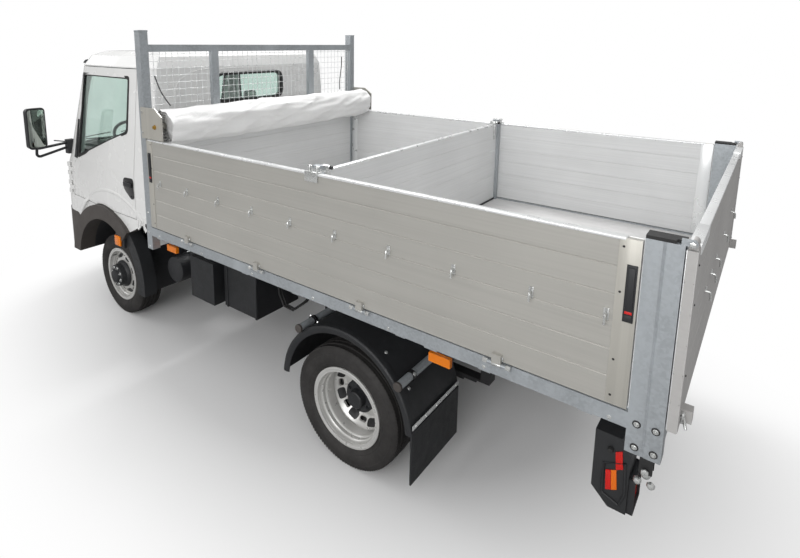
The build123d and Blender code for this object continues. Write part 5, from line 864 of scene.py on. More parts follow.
class TRUCK_OT_wheels(TruckOperator, Operator):
    """Adds the rims' stepped wells, hub covers, nuts and valves"""
    bl_idname = "truck.wheels"
    bl_label = "Wheels"

    def build(self, sizes):
        for sign, side in SIDES:
            self.front(sign, side)
            self.rear(sign, side)

    def well(self, shape, centre, sign, depth):
        """Adds the stepped well of a rim, open to one side, down to a depth from the outer edge."""
        profile = [(0.0828, 0.2190), (0.0842, 0.2150), (0.0842, 0.2110), (0.0828, 0.2060), (0.0795, 0.1990),
                   (0.0740, 0.1944), (0.0600, 0.1930), (0.0530, 0.1900), (0.0485, 0.1855), (0.0300, 0.1842),
                   (0.0240, 0.1795), (0.0180, 0.1768), (0.0825 - depth, 0.1760), (0.0825 - depth, 0.1990),
                   (0.0700, 0.1990), (0.0800, 0.2100)]
        shape.lathe(centre, Y * sign, profile, steps=96)

    def front(self, sign, side):
        centre = Vector((FRONT_AXLE.x, sign * 0.745, TYRE_R))
        body = f"wheel_front_{side}"
        shape = Shape()
        self.well(shape, centre, sign, 0.055)
        shape.piece(f"rim_well_front_{side}", "rim", body)
        cover = Shape()
        face = 0.056
        cover.lathe(centre, Y * sign, [(face + 0.001, 0.0), (face + 0.001, 0.108), (face + 0.006, 0.111),
                                       (face + 0.016, 0.108), (face + 0.030, 0.094), (face + 0.068, 0.0885),
                                       (face + 0.0725, 0.0840), (face + 0.0735, 0.0560), (face + 0.088, 0.050),
                                       (face + 0.0915, 0.0435), (face + 0.0925, 0.0)], steps=64, loop=False)
        cover.piece(f"hub_cover_front_{side}", "black", body)
        points = []
        for k in range(8):
            angle = math.radians(45 * k + 18)
            out = Vector((math.cos(angle), 0, math.sin(angle)))
            points.append((centre + out * 0.0695 + Y * sign * (face + 0.0733), Y * sign, out))
        bolts(f"nuts_front_{side}", body, points, 0.0088)
        self.slots(f"front_{side}", body, centre, sign, 8, (0.062, 0.036), 0.151, (0.136, 0.056), (0.180, 0.030))
        valve = Shape()
        spot = centre + Vector((0.128, 0, 0.128)) + Y * sign * 0.05
        valve.bar(spot, spot + Y * sign * 0.03, 0.0045, 12, 0.003)
        valve.piece(f"valve_front_{side}", "rubber", body)

    def rear(self, sign, side):
        centre = Vector((REAR_AXLE.x, sign * 0.865, TYRE_R))
        body = f"wheels_rear_{side}"
        shape = Shape()
        self.well(shape, centre, sign, 0.112)
        shape.piece(f"rim_well_rear_{side}", "rim", body)
        cover = Shape()
        face = -0.0985
        turn = 2 * math.pi / 8
        outline = [(0.098 * math.cos(k * turn), 0.098 * math.sin(k * turn)) for k in range(8)]
        cover.plate(rounded(outline, 0.012, 3),
                    lambda u, v, far: centre + Vector((u, sign * (face + 0.001 + 0.014 * far), v)), soft=0.004)
        cover.lathe(centre + Y * sign * face, Y * sign,
                    [(0.012, 0.0), (0.012, 0.090), (0.058, 0.088), (0.066, 0.082), (0.066, 0.050),
                     (0.100, 0.047), (0.106, 0.040), (0.107, 0.0)], steps=48, loop=False)
        cover.piece(f"hub_cover_rear_{side}", "black", body)
        points = []
        for k in range(6):
            angle = math.radians(60 * k + 30)
            out = Vector((math.cos(angle), 0, math.sin(angle)))
            points.append((centre + out * 0.070 + Y * sign * (face + 0.066), Y * sign, out))
        bolts(f"nuts_rear_{side}", body, points, 0.011, "black")
        self.slots(f"rear_{side}", body, centre, sign, 8, (0.060, 0.032), 0.160, (0.136, -0.0985), (0.195, -0.041))

    def slots(self, label, body, centre, sign, count, size, reach, low, high):
        """Adds black plates where the hand holes are, painted shade standing in for the dark openings, lying on the
        slope between two (radius, height) places.
        """
        holes = Shape()
        slope = (high[1] - low[1]) / (high[0] - low[0])
        length, width = size
        corners = [(-length / 2, -width / 2), (length / 2, -width / 2), (length / 2, width / 2), (-length / 2, width / 2)]
        for k in range(count):
            angle = 2 * math.pi * (k + 0.5) / count
            out, along = Vector((math.cos(angle), 0, math.sin(angle))), Vector((-math.sin(angle), 0, math.cos(angle)))

            def place(u, v, far):
                spot = out * (reach + v) + along * u
                height = low[1] + slope * (Vector((spot.x, spot.z)).length - low[0])
                return centre + spot + Y * sign * (height + 0.0006 + 0.0016 * far)
            holes.plate(rounded(corners, 0.014, 4), place)
        holes.piece(f"hand_hole_shade_{label}", "chassis", body, crease=50.0)


# Load body

HOOK_Z = 1.344
HOOKS_X = (0.379, 0.093, -0.206, -0.495, -0.785, -1.080, -1.385, -1.698, -2.010, -2.262)
BOARD_X = (-2.348, 0.512)
BOARD_Z = (1.026, 1.612)
BED_Y = 1.080
HINGES_X = (-1.899, -1.234, -0.526, 0.107)


class TRUCK_OT_side_fittings(TruckOperator, Operator):
    """Adds the side boards' hooks, end profiles, beads, locks and hinge leaves"""
    bl_idname = "truck.side_fittings"
    bl_label = "Side board fittings"

    def build(self, sizes):
        for sign, side in SIDES:
            body = f"side_{side}"
            out = Y * sign
            hooks = [(Vector((x, sign * BED_Y, HOOK_Z)), out, -Z) for x in HOOKS_X]
            grow(f"rope_hooks_{side}", "hooks", body, "bright",
                 {"Bar Radius": sizes.hook_wire, "Reach": 0.020, "Drop": 0.034}, hooks)
            plates = Shape()
            for x in HOOKS_X:
                plates.box((x - 0.009, sign * BED_Y, HOOK_Z - 0.024), (x + 0.009, sign * (BED_Y + 0.0025),
                                                                      HOOK_Z + 0.018), 0.001)
            plates.piece(f"hook_plates_{side}", "bright", body)
            self.profiles(sign, side, body)
            self.locks(sign, side, body)
            self.leaves(sign, side, body)

    def profiles(self, sign, side, body):
        """Adds a channel over each end of the board and a rounded bead along its top, lighter than the board: partly a
        painted highlight along the top edge.
        """
        ends, inner = Shape(), Shape()
        for low, high in ((BOARD_X[0] - 0.001, BOARD_X[0] + 0.066), (BOARD_X[1] - 0.058, BOARD_X[1] + 0.001)):
            for sheet, y0, y1 in ((ends, BED_Y, BED_Y + 0.0028), (inner, BED_Y - 0.0278, BED_Y - 0.025)):
                sheet.box((low, sign * y0, BOARD_Z[0] + 0.004), (high, sign * y1, BOARD_Z[1] + 0.0015), 0.0008)
        ends.piece(f"end_profiles_{side}", "profile", body)
        inner.piece(f"end_sheets_{side}", "edge", body)
        # The bead's bright finish is partly a painted highlight along the board's top edge.
        bead = Shape()
        bead.box((BOARD_X[0] + 0.045, sign * (BED_Y - 0.028), BOARD_Z[1] - 0.008),
                 (BOARD_X[1] - 0.010, sign * (BED_Y + 0.003), BOARD_Z[1] + 0.004), 0.0035, steps=3)
        bead.piece(f"top_bead_highlight_{side}", "edge", body)
        spots = [(Vector((x, sign * (BED_Y + 0.0028), z)), Y * sign, Z)
                 for x in (BOARD_X[0] + 0.052, BOARD_X[1] - 0.046) for z in (1.585, 1.43, 1.19, 1.06)]
        rivets(f"profile_screws_{side}", body, spots, 0.0032, "chassis")

    def locks(self, sign, side, body):
        """Adds the black sunk locks with their red marks."""
        frame_shape, mark = Shape(), Shape()
        for x in (BOARD_X[0] + 0.0215, BOARD_X[1] - 0.0270):
            low, high = 1.333, 1.529
            y = sign * (BED_Y + 0.0028)
            frame_shape.box((x - 0.0160, y, low), (x + 0.0160, y + sign * 0.0030, high), 0.0012)
            frame_shape.box((x - 0.0115, y, low + 0.045), (x + 0.0115, y + sign * 0.0075, high - 0.008), 0.003)
            frame_shape.box((x - 0.0115, y, low + 0.006), (x + 0.0115, y + sign * 0.0050, low + 0.026), 0.002)
            mark.box((x - 0.0110, y, low + 0.029), (x + 0.0110, y + sign * 0.0052, low + 0.038), 0.001)
        frame_shape.piece(f"board_locks_{side}", "black", body)
        mark.piece(f"lock_marks_{side}", "red", body)

    def leaves(self, sign, side, body):
        """Adds the hinge straps with their bolts along the board's foot."""
        straps = Shape()
        spots = []
        for x in HINGES_X:
            straps.box((x - 0.024, sign * BED_Y, BOARD_Z[0] + 0.002), (x + 0.024, sign * (BED_Y + 0.0040),
                                                                      BOARD_Z[0] + 0.020), 0.0015)
            straps.bar((x - 0.019, sign * 1.089, 1.013), (x + 0.019, sign * 1.089, 1.013), 0.0092, 20, soft=0.0015)
            for step in (-0.015, 0.015):
                spots.append((Vector((x + step, sign * (BED_Y + 0.0040), BOARD_Z[0] + 0.012)), Y * sign, X))
        straps.piece(f"hinge_straps_{side}", "bright", body)
        bolts(f"hinge_bolts_{side}", body, spots, 0.0050)


class TRUCK_OT_corners(TruckOperator, Operator):
    """Adds the corner posts' bolts and ball pins, and the rails' hinge caps"""
    bl_idname = "truck.corners"
    bl_label = "Corner posts"

    def build(self, sizes):
        rings, spots = Shape(), []
        caps = Shape()
        for sign, side in SIDES:
            for x in (-2.439, -2.383):
                for z in (0.989, 0.904):
                    place = Vector((x, sign * BED_Y, z))
                    # Black rings round the post bolts: painted shade standing in for the dark recesses the bolts sit
                    # in.
                    rings.lathe(place, Y * sign, [(0.0, 0.0), (0.0, 0.0128), (0.0025, 0.0128), (0.0035, 0.0112),
                                                  (0.0035, 0.0)], steps=28, loop=False)
                    spots.append((place + Y * sign * 0.0035, Y * sign, (X + Z * 0.4).normalized()))
            for x in HINGES_X:
                for step in (-0.046, 0.046):
                    centre = Vector((x + step, sign * 1.089, 1.013))
                    caps.bar(centre - X * 0.010, centre + X * 0.010, 0.0098, 6, soft=0.0015)
            foot = Vector((-2.421, sign * 1.050, 0.831))
            for step in (-1, 1):
                caps.bar(foot + Y * step * 0.0300, foot + Y * step * 0.0385, 0.0125, 6, soft=0.002)
                caps.lathe(foot + Vector((step * 0.020, sign * 0.0205, -0.046)), Y * sign,
                           [(0.0, 0.0), (0.0, 0.013), (0.006, 0.0125), (0.012, 0.009), (0.0145, 0.0)], steps=20,
                           loop=False)
            caps.lathe(foot - Z * 0.030, Z, [(-0.0155, 0.0), (-0.0125, 0.0088), (-0.006, 0.0142), (0.0, 0.0156),
                                             (0.006, 0.0142), (0.010, 0.0118), (0.010, 0.0)], steps=28, loop=False)
        rings.piece("bolt_recess_shade", "rubber", "bed")
        bolts("post_bolts", "bed", spots, 0.0062)
        caps.piece("bed_bright_fittings", "bright", "bed")
        self.cross_bolts()

    def cross_bolts(self):
        """Adds the small bolts along the side rails and under the headboard's posts."""
        spots = []
        for sign, _ in SIDES:
            for k in range(7):
                x = -2.30 + k * 0.455
                spots.append((Vector((x, sign * BED_Y, 0.975)), Y * sign, Z))
            for z in (0.880, 0.979, 1.115):
                spots.append((Vector((0.554, sign * BED_Y, z)), Y * sign, Z))
        bolts("rail_bolts", "bed", spots, 0.0055)


class TRUCK_OT_tailgate(TruckOperator, Operator):
    """Adds the tailgate's hooks, end profiles, top cap, pins and latches"""
    bl_idname = "truck.tailgate_fittings"
    bl_label = "Tailgate fittings"

    def build(self, sizes):
        face, inside, top = -2.493, -2.467, 1.614
        hooks = [(Vector((face, y, 1.312)), -X, -Z) for y in (0.60, 0.40, 0.20, -0.18, -0.64)]
        grow("gate_hooks", "hooks", "tailgate", "bright",
             {"Bar Radius": sizes.hook_wire, "Reach": 0.020, "Drop": 0.034}, hooks)
        profile, bead, fittings, inner = Shape(), Shape(), Shape(), Shape()
        for sign, _ in SIDES:
            for sheet, x0, x1 in ((profile, face - 0.0028, face), (inner, inside, inside + 0.0028)):
                sheet.box((x0, sign * 1.022, 1.010), (x1, sign * 1.0805, top), 0.0008)
            bead.box((face - 0.005, sign * 0.79, top - 0.030), (inside + 0.005, sign * 1.012, top + 0.008), 0.003)
            fittings.bar((-2.480, sign * 1.081, 1.634), (-2.480, sign * 1.090, 1.634), 0.0105, 6, soft=0.002)
            fittings.box((-2.506, sign * 0.990, 1.010), (-2.4935, sign * 1.020, 1.046), 0.003)
            fittings.bar((-2.500, sign * 1.005, 1.036), (-2.514, sign * 1.036, 1.006), 0.0060, 14, 0.0042, soft=0.001)
        bead.box((face - 0.003, -0.79, top - 0.006), (inside + 0.003, 0.79, top + 0.004), 0.003)
        profile.piece("gate_end_profiles", "board_rear", "tailgate")
        inner.piece("gate_end_sheets", "edge", "tailgate")
        bead.piece("gate_top_cap", "edge", "tailgate")
        fittings.piece("gate_latches", "bright", "tailgate")
        spots = [(Vector((face - 0.0028, sign * 1.036, z)), -X, Z) for sign, _ in SIDES
                 for z in (1.05, 1.19, 1.43, 1.56)]
        rivets("gate_screws", "tailgate", spots, 0.0034, "chassis")


class TRUCK_OT_headboard(TruckOperator, Operator):
    """Adds the headboard's welded wires and the posts' caps"""
    bl_idname = "truck.headboard"
    bl_label = "Headboard"

    def build(self, sizes):
        low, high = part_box("headboard_mesh")
        width, rise = high.y - low.y, high.z - low.z
        uprights, levels = round(width / sizes.wire_pitch), round(rise / sizes.wire_pitch)
        gap = sizes.wire
        rows = (("mesh_uprights", uprights, (low.x + gap, low.y + gap, low.z),
                 (0, (width - 2 * gap) / uprights, 0), (0, 0, rise)),
                ("mesh_levels", levels, (low.x + gap * 2.7, low.y, low.z + gap),
                 (0, 0, (rise - 2 * gap) / levels), (0, width, 0)))
        for name, count, first, step, run in rows:
            wires = grow(name, "wires", "bed", "edge", {"Count": count + 1, "First": first, "Step": step, "Run": run,
                                                        "Radius": sizes.wire}, crease=60.0)
            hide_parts("headboard_mesh")
        caps, latch = Shape(), Shape()
        for sign, _ in SIDES:
            caps.box((0.5165, sign * 1.0225, 2.2953), (0.5795, sign * 1.0815, 2.3052), 0.001)
            latch.box((0.5120, sign * 1.035, 1.560), (0.5178, sign * 1.062, 1.640), 0.002)
            latch.bar((0.508, sign * 1.048, 1.622), (0.518, sign * 1.048, 1.622), 0.012, 16, soft=0.002)
        caps.piece("headpost_caps", "zinc", "bed")
        latch.piece("headpost_latches", "black", "bed")


class TRUCK_OT_partition(TruckOperator, Operator):
    """Adds the partition's clamps, knobs, beads and foot strip"""
    bl_idname = "truck.partition_fittings"
    bl_label = "Partition fittings"

    def build(self, sizes):
        bead, clamps, knobs, strip = Shape(), Shape(), Shape(), Shape()
        low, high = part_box("partition_board")
        bead.box((low.x - 0.002, low.y + 0.01, high.z - 0.006), (high.x + 0.002, high.y - 0.01, high.z + 0.004),
                 0.003)
        bead.piece("partition_bead", "edge", "bed")
        strip.box((low.x - 0.006, low.y, low.z - 0.0002), (low.x - 0.0003, high.y, low.z + 0.012), 0.001)
        strip.piece("partition_seal", "rubber", "bed")
        for sign, side in SIDES:
            clamps = Shape()
            x = -0.935
            clamps.box((x - 0.042, sign * 1.0490, 1.6165), (x + 0.042, sign * 1.0865, 1.6215), 0.0015)
            clamps.box((x - 0.042, sign * 1.0830, 1.572), (x + 0.042, sign * 1.0865, 1.620), 0.0012)
            for step in (-0.024, 0.024):
                clamps.bar((x + step, sign * 1.066, 1.6215), (x + step, sign * 1.066, 1.652), 0.0075, 14, 0.0055,
                           soft=0.001)
                clamps.box((x + step - 0.014, sign * 1.062, 1.640), (x + step + 0.014, sign * 1.070, 1.650), 0.003)
            clamps.piece(f"partition_clamps_{side}", "bright", f"side_{side}")
            inner = Shape()
            inner.box((x - 0.020, sign * 0.965, 1.616), (x + 0.020, sign * 1.000, 1.640), 0.003)
            inner.bar((x - 0.034, sign * 0.985, 1.630), (x + 0.018, sign * 0.985, 1.630), 0.008, 14, soft=0.002)
            inner.box((x - 0.018, sign * 0.962, 1.500), (x - 0.0135, sign * 0.992, 1.616), 0.002)
            inner.piece(f"partition_latch_{side}", "bright", "bed")
            knobs.bar((x - 0.050, sign * 0.985, 1.630), (x - 0.034, sign * 0.985, 1.630), 0.010, 14, soft=0.003)
        knobs.piece("partition_knobs", "gloss_black", "bed")


class TRUCK_OT_load_cover(TruckOperator, Operator):
    """Rolls the load cover on its bar, with end discs and pins"""
    bl_idname = "truck.load_cover"
    bl_label = "Load cover"

    def build(self, sizes):
        low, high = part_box("cover_roll")
        centre = (low + high) / 2
        outer = (high.z - low.z) / 2 - 0.004
        inner = 0.032
        half = 1.028
        around, along = 56, 120
        turns = sizes.cover_turns
        steps = round(turns * around)
        sheet = bmesh.new()
        rows = []
        for i in range(steps + 1):
            share = i / steps
            angle = 2 * math.pi * turns * share - math.radians(58)
            row = []
            for j in range(along + 1):
                y = -half + 2 * half * j / along
                row.append(sheet.verts.new(self.place(centre, angle, share, y, inner, outer, half)))
            rows.append(row)
        for i in range(steps):
            for j in range(along):
                sheet.faces.new((rows[i][j], rows[i][j + 1], rows[i + 1][j + 1], rows[i + 1][j]))
        bmesh.ops.recalc_face_normals(sheet, faces=sheet.faces[:])
        bmesh.ops.solidify(sheet, geom=sheet.faces[:], thickness=sizes.cover)
        data = bpy.data.meshes.new("load_cover")
        sheet.to_mesh(data)
        sheet.free()
        cover = settle("load_cover", data, "cover", "bed", 70.0, ("cover_roll",))
        self.ends(centre, outer)

    def place(self, centre, angle, share, y, inner, outer, half):
        """Places a point of the cloth: a spiral whose creases run through every turn alike."""
        spot = Vector((math.cos(angle) * 1.3, y * 2.1, math.sin(angle) * 1.3))
        folds = noise.noise(spot * 1.3 + Vector((3.1, 0, 0))) * 1.3 + noise.noise(spot * 3.1) * 0.8
        ridge = 1.0 - abs(noise.noise(Vector((y * 4.4 + math.sin(angle) * 1.5, math.cos(angle) * 1.1, 7.7)))) * 2
        crease = max(0.0, ridge - 0.55) * 1.6
        near_end = max(0.0, abs(y) / half - 0.93) / 0.07
        swell = 1.0 + 0.12 * folds + 0.09 * crease - 0.02 * near_end
        radius = (inner + (outer - inner) * share) * swell * 0.965
        lean = 0.010 * math.sin(y * 3.1 + 0.6)
        flat = -0.012 if math.sin(angle) < -0.6 else 0.0
        reach = min(radius, outer + 0.003)
        return centre + Vector((reach * math.cos(angle), y, reach * math.sin(angle) + flat * share + lean * 0.3))

    def ends(self, centre, outer):
        """Adds the bar in the roll, its dark end discs, the brass pins and the plates' bolts."""
        core, discs, pins, rims = Shape(), Shape(), Shape(), Shape()
        core.bar(centre - Y * 0.976, centre + Y * 0.976, 0.026, 24)
        for sign, _ in SIDES:
            discs.lathe(centre + Y * sign * 0.970, Y * sign, [(0.0, 0.0), (0.0, 0.040), (0.012, 0.040), (0.012, 0.0)],
                        steps=40, loop=False)
            for start, end, radius, sides in ((1.088, 1.102, 0.010, 16), (1.088, 1.094, 0.015, 6)):
                pins.bar(centre + Y * sign * start, centre + Y * sign * end, radius, sides, soft=0.001)
            for x, z in ((0.532, 1.66), (0.532, 1.79)):
                rims.bar((x, sign * 1.088, z), (x, sign * 1.093, z), 0.008, 6, soft=0.001)
        core.piece("cover_bar", "profile", "bed")
        discs.piece("cover_end_discs", "rubber", "bed")
        pins.piece("cover_pins", "brass", "bed")
        rims.piece("plate_bolts", "bright", "bed")


# Mudguards, lamps and underbody

class TRUCK_OT_mudguards(TruckOperator, Operator):
    """Adds the mudguards' rolled lips, clamps, tube caps and flap strips"""
    bl_idname = "truck.mudguards"
    bl_label = "Mudguards"

    def build(self, sizes):
        centre = (-1.055, 0.385)
        lips, clamps, caps, strips = Shape(), Shape(), Shape(), Shape()
        spots, strip_spots = [], []
        for sign, side in SIDES:
            middle = Vector((centre[0], sign * 0.960, centre[1]))
            profile = [(0.0, 0.4235), (0.026, 0.4265), (0.038, 0.4235), (0.044, 0.414), (0.043, 0.398),
                       (0.036, 0.384), (0.031, 0.386), (0.036, 0.399), (0.036, 0.412), (0.030, 0.418), (0.0, 0.4195)]
            lips.lathe(middle, Y * sign, profile, steps=72, arc=(-5, -175) if sign > 0 else (5, 175))
            for angle in (50, 142):
                reach = 0.415 + 0.008 + 0.020 + 0.0003
                spot = Vector((centre[0] + reach * math.cos(math.radians(angle)), 0,
                               centre[1] + reach * math.sin(math.radians(angle))))
                for y in (0.90, 0.62):
                    clamps.lathe(spot + Y * sign * y, Y * sign, [(-0.012, 0.0205), (-0.012, 0.025), (0.012, 0.025),
                                                                 (0.012, 0.0205)], steps=32)
                    out = Vector((math.cos(math.radians(angle)), 0, math.sin(math.radians(angle))))
                    spots.append((spot + Y * sign * y + out * 0.025, out, Y))
                caps.lathe(spot + Y * sign * 1.020, Y * sign, [(-0.012, 0.0205), (-0.012, 0.0225), (0.001, 0.0225),
                                                               (0.004, 0.019), (0.004, 0.0)], steps=32, loop=False)
            strips.box((-1.4815, sign * 0.545, 0.455), (-1.4785, sign * 0.998, 0.478), 0.001)
            strip_spots += [(Vector((-1.4815, sign * y, 0.4665)), -X, Z) for y in (0.58, 0.68, 0.78, 0.88, 0.97)]
        lips.piece("mudguard_lips", "black", "chassis")
        skin_bolts = []
        for sign, side in SIDES:
            for angle in (32, 58, 122, 148):
                out = Vector((math.cos(math.radians(angle)), 0, math.sin(math.radians(angle))))
                for y in (0.93, 0.66):
                    skin_bolts.append((Vector((centre[0], sign * y, centre[1])) + out * 0.4232, out, Y))
        bolts("guard_bolts", "chassis", skin_bolts, 0.0065)
        clamps.piece("mudguard_clamps", "gloss_black", "chassis")
        caps.piece("mudguard_tube_caps", "bumper", "chassis")
        strips.piece("flap_strips", "edge", "chassis")
        bolts("clamp_bolts", "chassis", spots, 0.007)
        rivets("flap_rivets", "chassis", strip_spots, 0.0045)


# outlines on the lamp box's side, in X and Z: red, orange and pale red lenses, and the housing's rim
LAMP_SIDE = (
    ((-2.289, 0.706), (-2.306, 0.714), (-2.312, 0.636), (-2.294, 0.628)),
    ((-2.307, 0.714), (-2.324, 0.723), (-2.331, 0.646), (-2.313, 0.636)),
    ((-2.316, 0.792), (-2.338, 0.804), (-2.345, 0.736), (-2.322, 0.722)),
)
LAMP_RIM = ((-2.282, 0.730), (-2.350, 0.762), (-2.356, 0.640), (-2.340, 0.588), (-2.282, 0.612))


class TRUCK_OT_lamps(TruckOperator, Operator):
    """Adds the tail lamps' coloured sections and frames, and the markers' frames"""
    bl_idname = "truck.lamps"
    bl_label = "Lamps"

    def build(self, sizes):
        frames, orange, nubs, back, red = Shape(), Shape(), Shape(), Shape(), Shape()
        for sign, _ in SIDES:
            x, y0, y1 = -2.377, sign * 0.872, sign * 0.978
            for low, high in ((0.565, 0.572), (0.702, 0.709)):
                frames.box((x - 0.010, y0 - sign * 0.008, low), (x + 0.012, y1 + sign * 0.008, high), 0.002)
            for near, far in ((y0 - sign * 0.008, y0), (y1, y1 + sign * 0.008)):
                frames.box((x - 0.010, near, 0.565), (x + 0.012, far, 0.709), 0.002)
            orange.box((x - 0.002, y0 + sign * 0.004, 0.622), (x + 0.001, y1 - sign * 0.004, 0.660), 0.0012)
            back.box((x - 0.002, y0 + sign * 0.004, 0.664), (x + 0.001, y1 - sign * 0.004, 0.698), 0.0012)
            nubs.bar((-2.300, sign * 0.990, 0.795), (-2.300, sign * 1.006, 0.795), 0.012, 16, 0.008, soft=0.002)
            for shape, outline in zip((red, orange, back), LAMP_SIDE):
                shape.plate(outline, lambda u, v, far: Vector((u, sign * (0.9903 + 0.0035 * far), v)), 0.0008)
            frames.tube([(u, sign * 0.9905, v) for u, v in LAMP_RIM], 0.006, 8, closed=True)
        red.piece("tail_lamp_side_red", "lens_red", "chassis")
        frames.piece("tail_lamp_frames", "black", "chassis")
        orange.piece("tail_lamp_orange", "lens_orange", "chassis")
        back.piece("tail_lamp_red", "lens_red", "chassis")
        nubs.piece("lamp_box_nubs", "rubber", "chassis")
        low_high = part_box("side_markers")
        rims, front, seats = Shape(), Shape(), Shape()
        for sign, _ in SIDES:
            for x in (-1.605, 0.425):
                rims.box((x - 0.056, sign * 0.974, low_high[0].z - 0.003), (x + 0.056, sign * 0.979,
                                                                           low_high[1].z + 0.003), 0.001)
            front.box((1.186, sign * 0.9500, 0.682), (1.268, sign * 0.9640, 0.760), 0.004)
            seats.box((1.150, sign * 0.9300, 0.672), (1.274, sign * 0.9505, 0.775), 0.004)
        rims.piece("marker_backs", "black", "bed")
        seats.piece("guard_marker_seats", "black", "chassis")
        front.piece("front_guard_markers", "lens_amber", "chassis")


class TRUCK_OT_underbody(TruckOperator, Operator):
    """Adds straps, lids and clamps to the units outside the frame"""
    bl_idname = "truck.underbody"
    bl_label = "Underbody"

    def build(self, sizes):
        straps, ribs, bright = Shape(), Shape(), Shape()
        for x in (0.34, 0.74):
            outline = rounded([(-0.762, 0.398), (-0.378, 0.398), (-0.378, 0.702), (-0.762, 0.702)], 0.052)
            straps.tube([(x, y, z) for y, z in outline], 0.007, 8, closed=True)
        for x in (-0.135, 0.155):
            ribs.box((x - 0.008, 0.385, 0.445), (x + 0.008, 0.766, 0.756), 0.003)
        ribs.box((-0.150, 0.385, 0.742), (0.170, 0.768, 0.758), 0.004)
        centre = Vector((0.675, 0.0, 0.59))
        ribs.lathe(centre + Y * 0.70, Y, [(-0.012, 0.0955), (-0.012, 0.101), (0.012, 0.101), (0.012, 0.0955)],
                   steps=40)
        ribs.lathe(centre + Y * 0.820, Y, [(0.0, 0.0955), (0.004, 0.094), (0.010, 0.080), (0.012, 0.0)], steps=40,
                   loop=False)
        bright.bar(centre + Vector((0.0, 0.690, 0.104)), centre + Vector((0.0, 0.715, 0.104)), 0.006, 12)
        straps.piece("tank_straps", "bright", "chassis")
        ribs.piece("unit_ribs", "black", "chassis")
        bright.piece("unit_clamp", "bright", "chassis")
        hoses = Shape()
        for step in (0.0, 0.022):
            hoses.tube([(-0.20, 0.60 + step, 0.70), (-0.21, 0.60 + step, 0.60), (-0.24, 0.59 + step, 0.52),
                        (-0.30, 0.57 + step, 0.50), (-0.34, 0.50 + step, 0.54), (-0.35, 0.41, 0.60)], 0.008, 10)
        hoses.piece("air_hoses", "rubber", "chassis")


# Cab

class TRUCK_OT_mirrors(TruckOperator, Operator):
    """Adds the mirrors' glass and rims"""
    bl_idname = "truck.mirrors"
    bl_label = "Mirrors"

    def build(self, sizes):
        for sign, side in SIDES:
            glass, rim = Shape(), Shape()
            y0, y1, z0, z1 = sign * 1.070, sign * 1.216, 1.370, 1.700
            inset = 0.010
            corners = [(y0 + sign * inset, z0 + inset), (y1 - sign * inset, z0 + inset),
                       (y1 - sign * inset, z1 - inset), (y0 + sign * inset, z1 - inset)]
            glass.plate(rounded(corners, 0.026), lambda u, v, far: Vector((2.0625 + 0.003 * far, u, v)), 0.001)
            glass.piece(f"mirror_glass_{side}", "mirror", "chassis")
            outline = rounded([(y0, z0), (y1, z0), (y1, z1), (y0, z1)], 0.032, 7)
            rim.tube([(2.066, y - sign * 0.006 * (1 if abs(y) > 1.143 else -1), z) for y, z in outline], 0.006, 8,
                     closed=True)
            rim.piece(f"mirror_rim_{side}", "black", "chassis")


class TRUCK_OT_doors(TruckOperator, Operator):
    """Adds the doors' handles, window seals and mirror mounts"""
    bl_idname = "truck.doors"
    bl_label = "Doors"

    def build(self, sizes):
        for sign, side in SIDES:
            skin = node_surface(f"door_{side}")
            body = f"door_{side}"
            self.seal(skin, sign, side, body)
            self.handle(skin, sign, side, body)

    def on_skin(self, skin, sign, x, z, lift=0.0, fallback=0.93):
        """Finds the door's outer face at a height and a place along the truck."""
        spot = drop(skin, (x, sign * 2.0, z), (0, -sign, 0), (x, sign * fallback, z))
        return Vector((x, spot.y + sign * lift, z))

    def seal(self, skin, sign, side, body):
        """Adds the black seal round the window, on the door's skin."""
        outer = rounded([(1.083, 1.568), (1.083, 1.988), (1.882, 1.988), (1.921, 1.272)], 0.030, 5)
        inner = rounded([(1.105, 1.583), (1.105, 1.965), (1.860, 1.965), (1.893, 1.308)], 0.022, 5)
        shape = Shape()
        rows = []
        for (x0, z0), (x1, z1) in zip(outer, inner):
            edge = self.on_skin(skin, sign, x0, z0)
            step = Vector((x1, edge.y, z1))
            rows.append([edge - Y * sign * 0.004, edge + Y * sign * 0.003, step + Y * sign * 0.003,
                         step - Y * sign * 0.012])
        shape.ribbon(rows, closed=True)
        shape.piece(f"window_seal_{side}", "rubber", body)
        wedge = Shape()
        outline = [(1.925, 1.600), (1.955, 1.400), (1.975, 1.275), (1.925, 1.270), (1.908, 1.600)]
        wedge.plate(outline, lambda u, v, far: self.on_skin(skin, sign, u, v, 0.001 + 0.008 * far), 0.001)
        wedge.piece(f"mirror_wedge_{side}", "black", body)

    def handle(self, skin, sign, side, body):
        """Adds the dark teardrop handle: a plate standing on the skin, a pull bar and a short round boss."""
        cup, bar = Shape(), Shape()
        outline = rounded([(0.998, 1.243), (1.134, 1.236), (1.130, 1.150), (1.030, 1.078), (0.996, 1.090)], 0.034, 6)
        cup.plate(outline, lambda u, v, far: self.on_skin(skin, sign, u, v, -0.001 + 0.006 * far), 0.002)
        cup.piece(f"door_handle_{side}", "gloss_black", body)
        spot = self.on_skin(skin, sign, 1.055, 1.185)
        bar.box((1.010, spot.y + sign * 0.004, 1.172), (1.122, spot.y + sign * 0.016, 1.204), 0.005)
        bar.bar((1.030, spot.y + sign * 0.004, 1.100), (1.030, spot.y + sign * 0.007, 1.100), 0.010, 18, soft=0.001)
        bar.piece(f"door_pull_{side}", "black", body)


